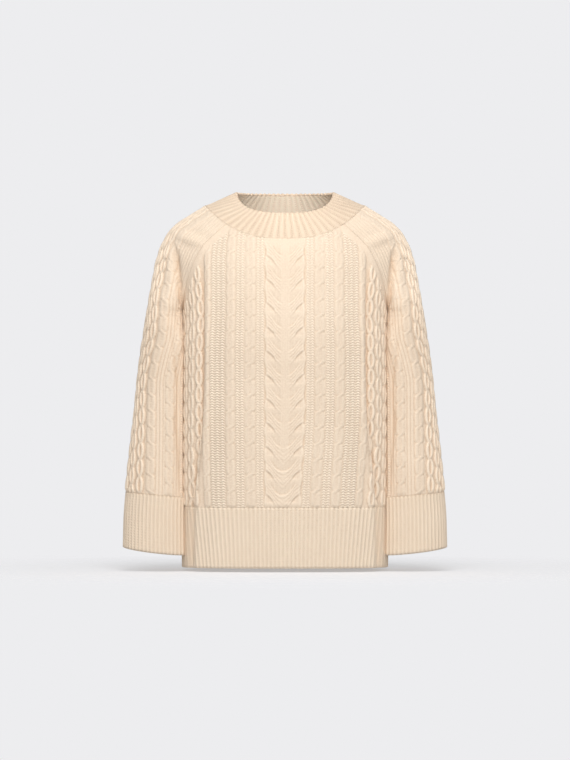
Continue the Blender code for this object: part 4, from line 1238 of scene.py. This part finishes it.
def cuff(name, side):
    outer, inner = Skin(), Skin()
    keys = np.linspace(0, 1, RIB_POINTS * CUFF_RIBS + 1)
    plain = np.linspace(0, 1, 73)
    for level in range(CUFF_ROWS + 1):
        below = (CUFF_LENGTH + RIB_LAP) * (1 - level / CUFF_ROWS) - RIB_LAP
        halves = [sleeve_tube_half(-below / COURSE, is_front) for is_front in (True, False)]
        whole = np.vstack([halves[0][:0:-1], halves[1]])
        whole[:, 2] -= SEAM
        along = lengths_along(whole)
        share = along / along[-1]
        inward = ring_inward(whole)
        height, column = rib(keys, CUFF_RIBS)
        out = -points_at(inward, share, keys) * (RIB_HEIGHT * height)[:, None]
        outer.add(level, (points_at(whole, share, keys) + out) * (side, 1, 1), keys)
        ribbed_stitches(outer, level, column, -below, height)
        if level in (0, CUFF_ROWS // 2, CUFF_ROWS):
            points = points_at(whole + WALL * inward, share, plain) * (side, 1, 1)
            inner.add(level, points, plain)
            height, column = rib(plain, CUFF_RIBS)
            ribbed_stitches(inner, -1, column, -below, 1 - height)
    return knitted_wall(name, outer, inner, CUFF_ROWS, ribbed_wool)


for name, side in (("cuff_right", -1), ("cuff_left", 1)):
    band = cuff("knit_" + name, side)
    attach(band, "root")
    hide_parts(name)


# ---------------------------------------------------------------- neckband
# A wide one-and-one rib, knitted double and folded at its top edge, then linked stitch by
# stitch to the neckline. Its ribs scallop the fold.
COLLAR_RIBS = 60
COLLAR_RIB_HEIGHT = 0.0012
BAND_WALL = 0.0030
BAND_HALF_WIDTH = 0.0780
BAND_FRONT_Y = -0.0620
BAND_BACK_Y = 0.0540
BAND_MID_Y = 0.0020
BAND_FRONT_Z = 0.0015
BAND_BACK_Z = 0.0362
BAND_SIDE_Z = 0.0366
BAND_FRONT_RISE = 2.8


def neckline_loop():
    """The neckline seam all round, from the centre front over +X and back again."""
    front, _ = torso_course(TOP_COURSE, True)
    back, _ = torso_course(TOP_COURSE, False)
    over_front = sleeve_cap_half(SLEEVE_TOP_COURSE, True)
    over_back = sleeve_cap_half(SLEEVE_TOP_COURSE, False)
    half = np.vstack([front, over_front[-2::-1], over_back[1:], back[-2::-1]])
    return np.vstack([half, half[-2::-1] * (-1, 1, 1)])


def band_top_loop(count=241):
    """The neckband's fold all round, from the centre front."""
    angle = np.linspace(0, math.pi, count)
    x = BAND_HALF_WIDTH * np.sin(angle)
    reach = np.where(angle < math.pi / 2, BAND_FRONT_Y - BAND_MID_Y, BAND_MID_Y - BAND_BACK_Y)
    y = BAND_MID_Y + reach * np.cos(angle)
    share = x / BAND_HALF_WIDTH
    rise = 1 - np.sqrt(np.clip(1 - share**BAND_FRONT_RISE, 0, 1))
    front_z = BAND_FRONT_Z + (BAND_SIDE_Z - BAND_FRONT_Z) * rise
    back_z = BAND_BACK_Z + (BAND_SIDE_Z - BAND_BACK_Z) * share**2
    z = np.where(angle < math.pi / 2, front_z, back_z)
    half = np.stack([x, y, z], axis=1)
    return np.vstack([half, half[-2::-1] * (-1, 1, 1)])


def band_surface(keys, height):
    """Points of the band's plain outer surface, the way out and the way up."""
    loops = []
    for loop in (neckline_loop(), band_top_loop()):
        along = lengths_along(loop)
        loops.append(points_at(loop, along / along[-1], keys))
    base, top = loops
    around = unit(np.roll(base, -1, axis=0) - np.roll(base, 1, axis=0))
    around[0] = around[-1] = (1, 0, 0)
    outward = unit(np.cross(around, top - base))
    outward *= np.where(outward[:, 2:] < 0, -1.0, 1.0)
    upward = unit(top - base)
    return base + 2 * SEAM * upward + height * (top - base), outward, upward


outer, inner = Skin(), Skin()
keys = np.linspace(0, 1, RIB_POINTS * COLLAR_RIBS + 1)
ribs, column = rib(keys, COLLAR_RIBS)
for level, share_up in enumerate(np.linspace(-0.025, 0.97, 22)):
    points, outward, upward = band_surface(keys, share_up)
    rise = COLLAR_RIB_HEIGHT * ribs
    rise += (0.0008 + 0.0010 * ribs - rise) * smooth_step((0.06 - share_up) / 0.06)
    outer.add(level, points + rise[:, None] * outward, keys)
    ribbed_stitches(outer, -1, column, 0.060 * share_up, ribs)
for level, turn in enumerate(np.radians((15, 45, 75, 105, 135, 160)), 22):
    points, outward, upward = band_surface(keys, 0.97)
    thick = BAND_WALL / 2
    roll = np.cos(turn) * outward + np.sin(turn) * upward
    rise = COLLAR_RIB_HEIGHT * ribs * (1 + 0.3 * np.sin(turn))
    points = points - thick * outward + thick * roll + rise[:, None] * roll
    outer.add(level, points, keys)
    ribbed_stitches(outer, -1, column, 0.058 + 0.0015 * turn, ribs)
    # Painted shade over the folded top edge.
    outer.painted_light[-1] -= 0.15
for level, share_up in ((0, 0.0), (9, 0.3), (18, 0.6), (27, 0.94)):
    points, outward, upward = band_surface(keys, share_up)
    inward = neck_inward(points) if level == 0 else -outward
    rise = BAND_WALL + COLLAR_RIB_HEIGHT * ribs * min(level, 1)
    inner.add(level, points + rise[:, None] * inward, keys)
    ribbed_stitches(inner, -1, column, 0.060 * share_up, ribs)
    # Painted light: the inside of the band is drawn pale, as if lit.
    inner.painted_light[-1] += 0.72
# Painted shade over the outside of the band, deeper in the rib grooves than on the crests.
for painted_light in outer.painted_light:
    painted_light -= 0.35 - 0.16 * ribs
neckband = knitted_wall("knit_collar", outer, inner, 27, ribbed_wool)
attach(neckband, "root")
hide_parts("collar")


# ---------------------------------------------------------------- floor, light and camera
# A plain pale studio: a floor just below the garment that fades out into the air, a large
# soft key in front, a smaller one from above, a narrow one into the neck, and even light
# all round.
FRAME_CENTRE_Z = -0.2656
CAMERA_BACK = 8.0
VIEW_HEIGHT = 1.216  # of the garment's front, from edge to edge of the frame
FLOOR_Z = HEM_BOTTOM - 0.0060
FLOOR_RADIUS = 2.2
AIR = (0.847, 0.847, 0.863)
bpy.ops.mesh.primitive_circle_add(
    vertices=96, radius=FLOOR_RADIUS, fill_type="NGON", location=(0, 0, FLOOR_Z)
)
floor = bpy.context.object
floor.name = "studio_floor"
paper = bpy.data.materials.new("studio_paper")
paper.use_nodes = True
paper_shader = paper.node_tree.nodes["Principled BSDF"]
paper_shader.inputs["Base Color"].default_value = (0.56, 0.56, 0.57, 1)
paper_shader.inputs["Emission Color"].default_value = (*AIR, 1)
paper_shader.inputs["Emission Strength"].default_value = 0.42
paper_shader.inputs["Roughness"].default_value = 0.95
paper_shader.inputs["Specular IOR Level"].default_value = 0.0
paper_place = paper.node_tree.nodes.new("ShaderNodeTexCoord")
paper_reach = paper.node_tree.nodes.new("ShaderNodeVectorMath")
paper_reach.operation = "LENGTH"
paper_fade = paper.node_tree.nodes.new("ShaderNodeMapRange")
paper_fade.interpolation_type = "SMOOTHSTEP"
paper_fade.inputs["From Min"].default_value = 0.16
paper_fade.inputs["From Max"].default_value = 0.80
paper_fade.inputs["To Min"].default_value = 1.0
paper_fade.inputs["To Max"].default_value = 0.0
paper.node_tree.links.new(paper_place.outputs["Object"], paper_reach.inputs[0])
paper.node_tree.links.new(paper_reach.outputs["Value"], paper_fade.inputs["Value"])
paper.node_tree.links.new(paper_fade.outputs["Result"], paper_shader.inputs["Alpha"])
floor.data.materials.append(paper)
floor.visible_diffuse = False

bpy.ops.mesh.primitive_uv_sphere_add(segments=48, ring_count=24, radius=14.0)
backdrop = bpy.context.object
backdrop.name = "studio_backdrop"
haze = bpy.data.materials.new("studio_haze")
haze.use_nodes = True
haze_shader = haze.node_tree.nodes["Principled BSDF"]
haze_shader.inputs["Base Color"].default_value = (0, 0, 0, 1)
haze_shader.inputs["Specular IOR Level"].default_value = 0.0
haze_shader.inputs["Emission Color"].default_value = (*AIR, 1)
haze_shader.inputs["Emission Strength"].default_value = 1.0
backdrop.data.materials.append(haze)
backdrop.visible_diffuse = False
backdrop.visible_glossy = False
backdrop.visible_shadow = False

world = bpy.data.worlds.new("studio_air")
world.use_nodes = True
world.node_tree.nodes["Background"].inputs["Color"].default_value = (1.0, 1.0, 1.0, 1)
world.node_tree.nodes["Background"].inputs["Strength"].default_value = 0.45
bpy.context.scene.world = world
bpy.context.scene.view_settings.view_transform = "Standard"


def soft_light(name, place, aim, size, power):
    light = bpy.data.lights.new(name, "AREA")
    light.shape = "DISK"
    light.size = size
    light.energy = power
    lamp = bpy.data.objects.new(name, light)
    bpy.context.scene.collection.objects.link(lamp)
    lamp.location = place
    way = np.array(aim) - np.array(place)
    lamp.rotation_euler = (
        math.atan2(math.hypot(way[0], way[1]), -way[2]), 0, math.atan2(-way[0], way[1])
    )


soft_light("key", (0.3, -6.0, 0.9), (0, 0, -0.25), 2.4, 170)
soft_light("top_light", (0.0, -1.4, 2.4), (0, 0, -0.2), 1.4, 34)

neck_light = bpy.data.lights.new("neck_light", "SPOT")
neck_light.energy = 15
neck_light.spot_size = math.radians(8.5)
neck_light.spot_blend = 1.0
neck_light.shadow_soft_size = 0.05
neck_lamp = bpy.data.objects.new("neck_light", neck_light)
neck_lamp.location = (0, -1.2, 0.16)
neck_lamp.rotation_euler = (math.atan2(1.26, 0.135), 0, 0)
bpy.context.scene.collection.objects.link(neck_lamp)

camera = bpy.data.cameras.new("camera")
camera.lens = 36.0 * (CAMERA_BACK - 0.06) / VIEW_HEIGHT
viewer = bpy.data.objects.new("camera", camera)
viewer.location = (0, -CAMERA_BACK, FRAME_CENTRE_Z)
viewer.rotation_euler = (math.pi / 2, 0, 0)
bpy.context.scene.collection.objects.link(viewer)
bpy.context.scene.camera = viewer
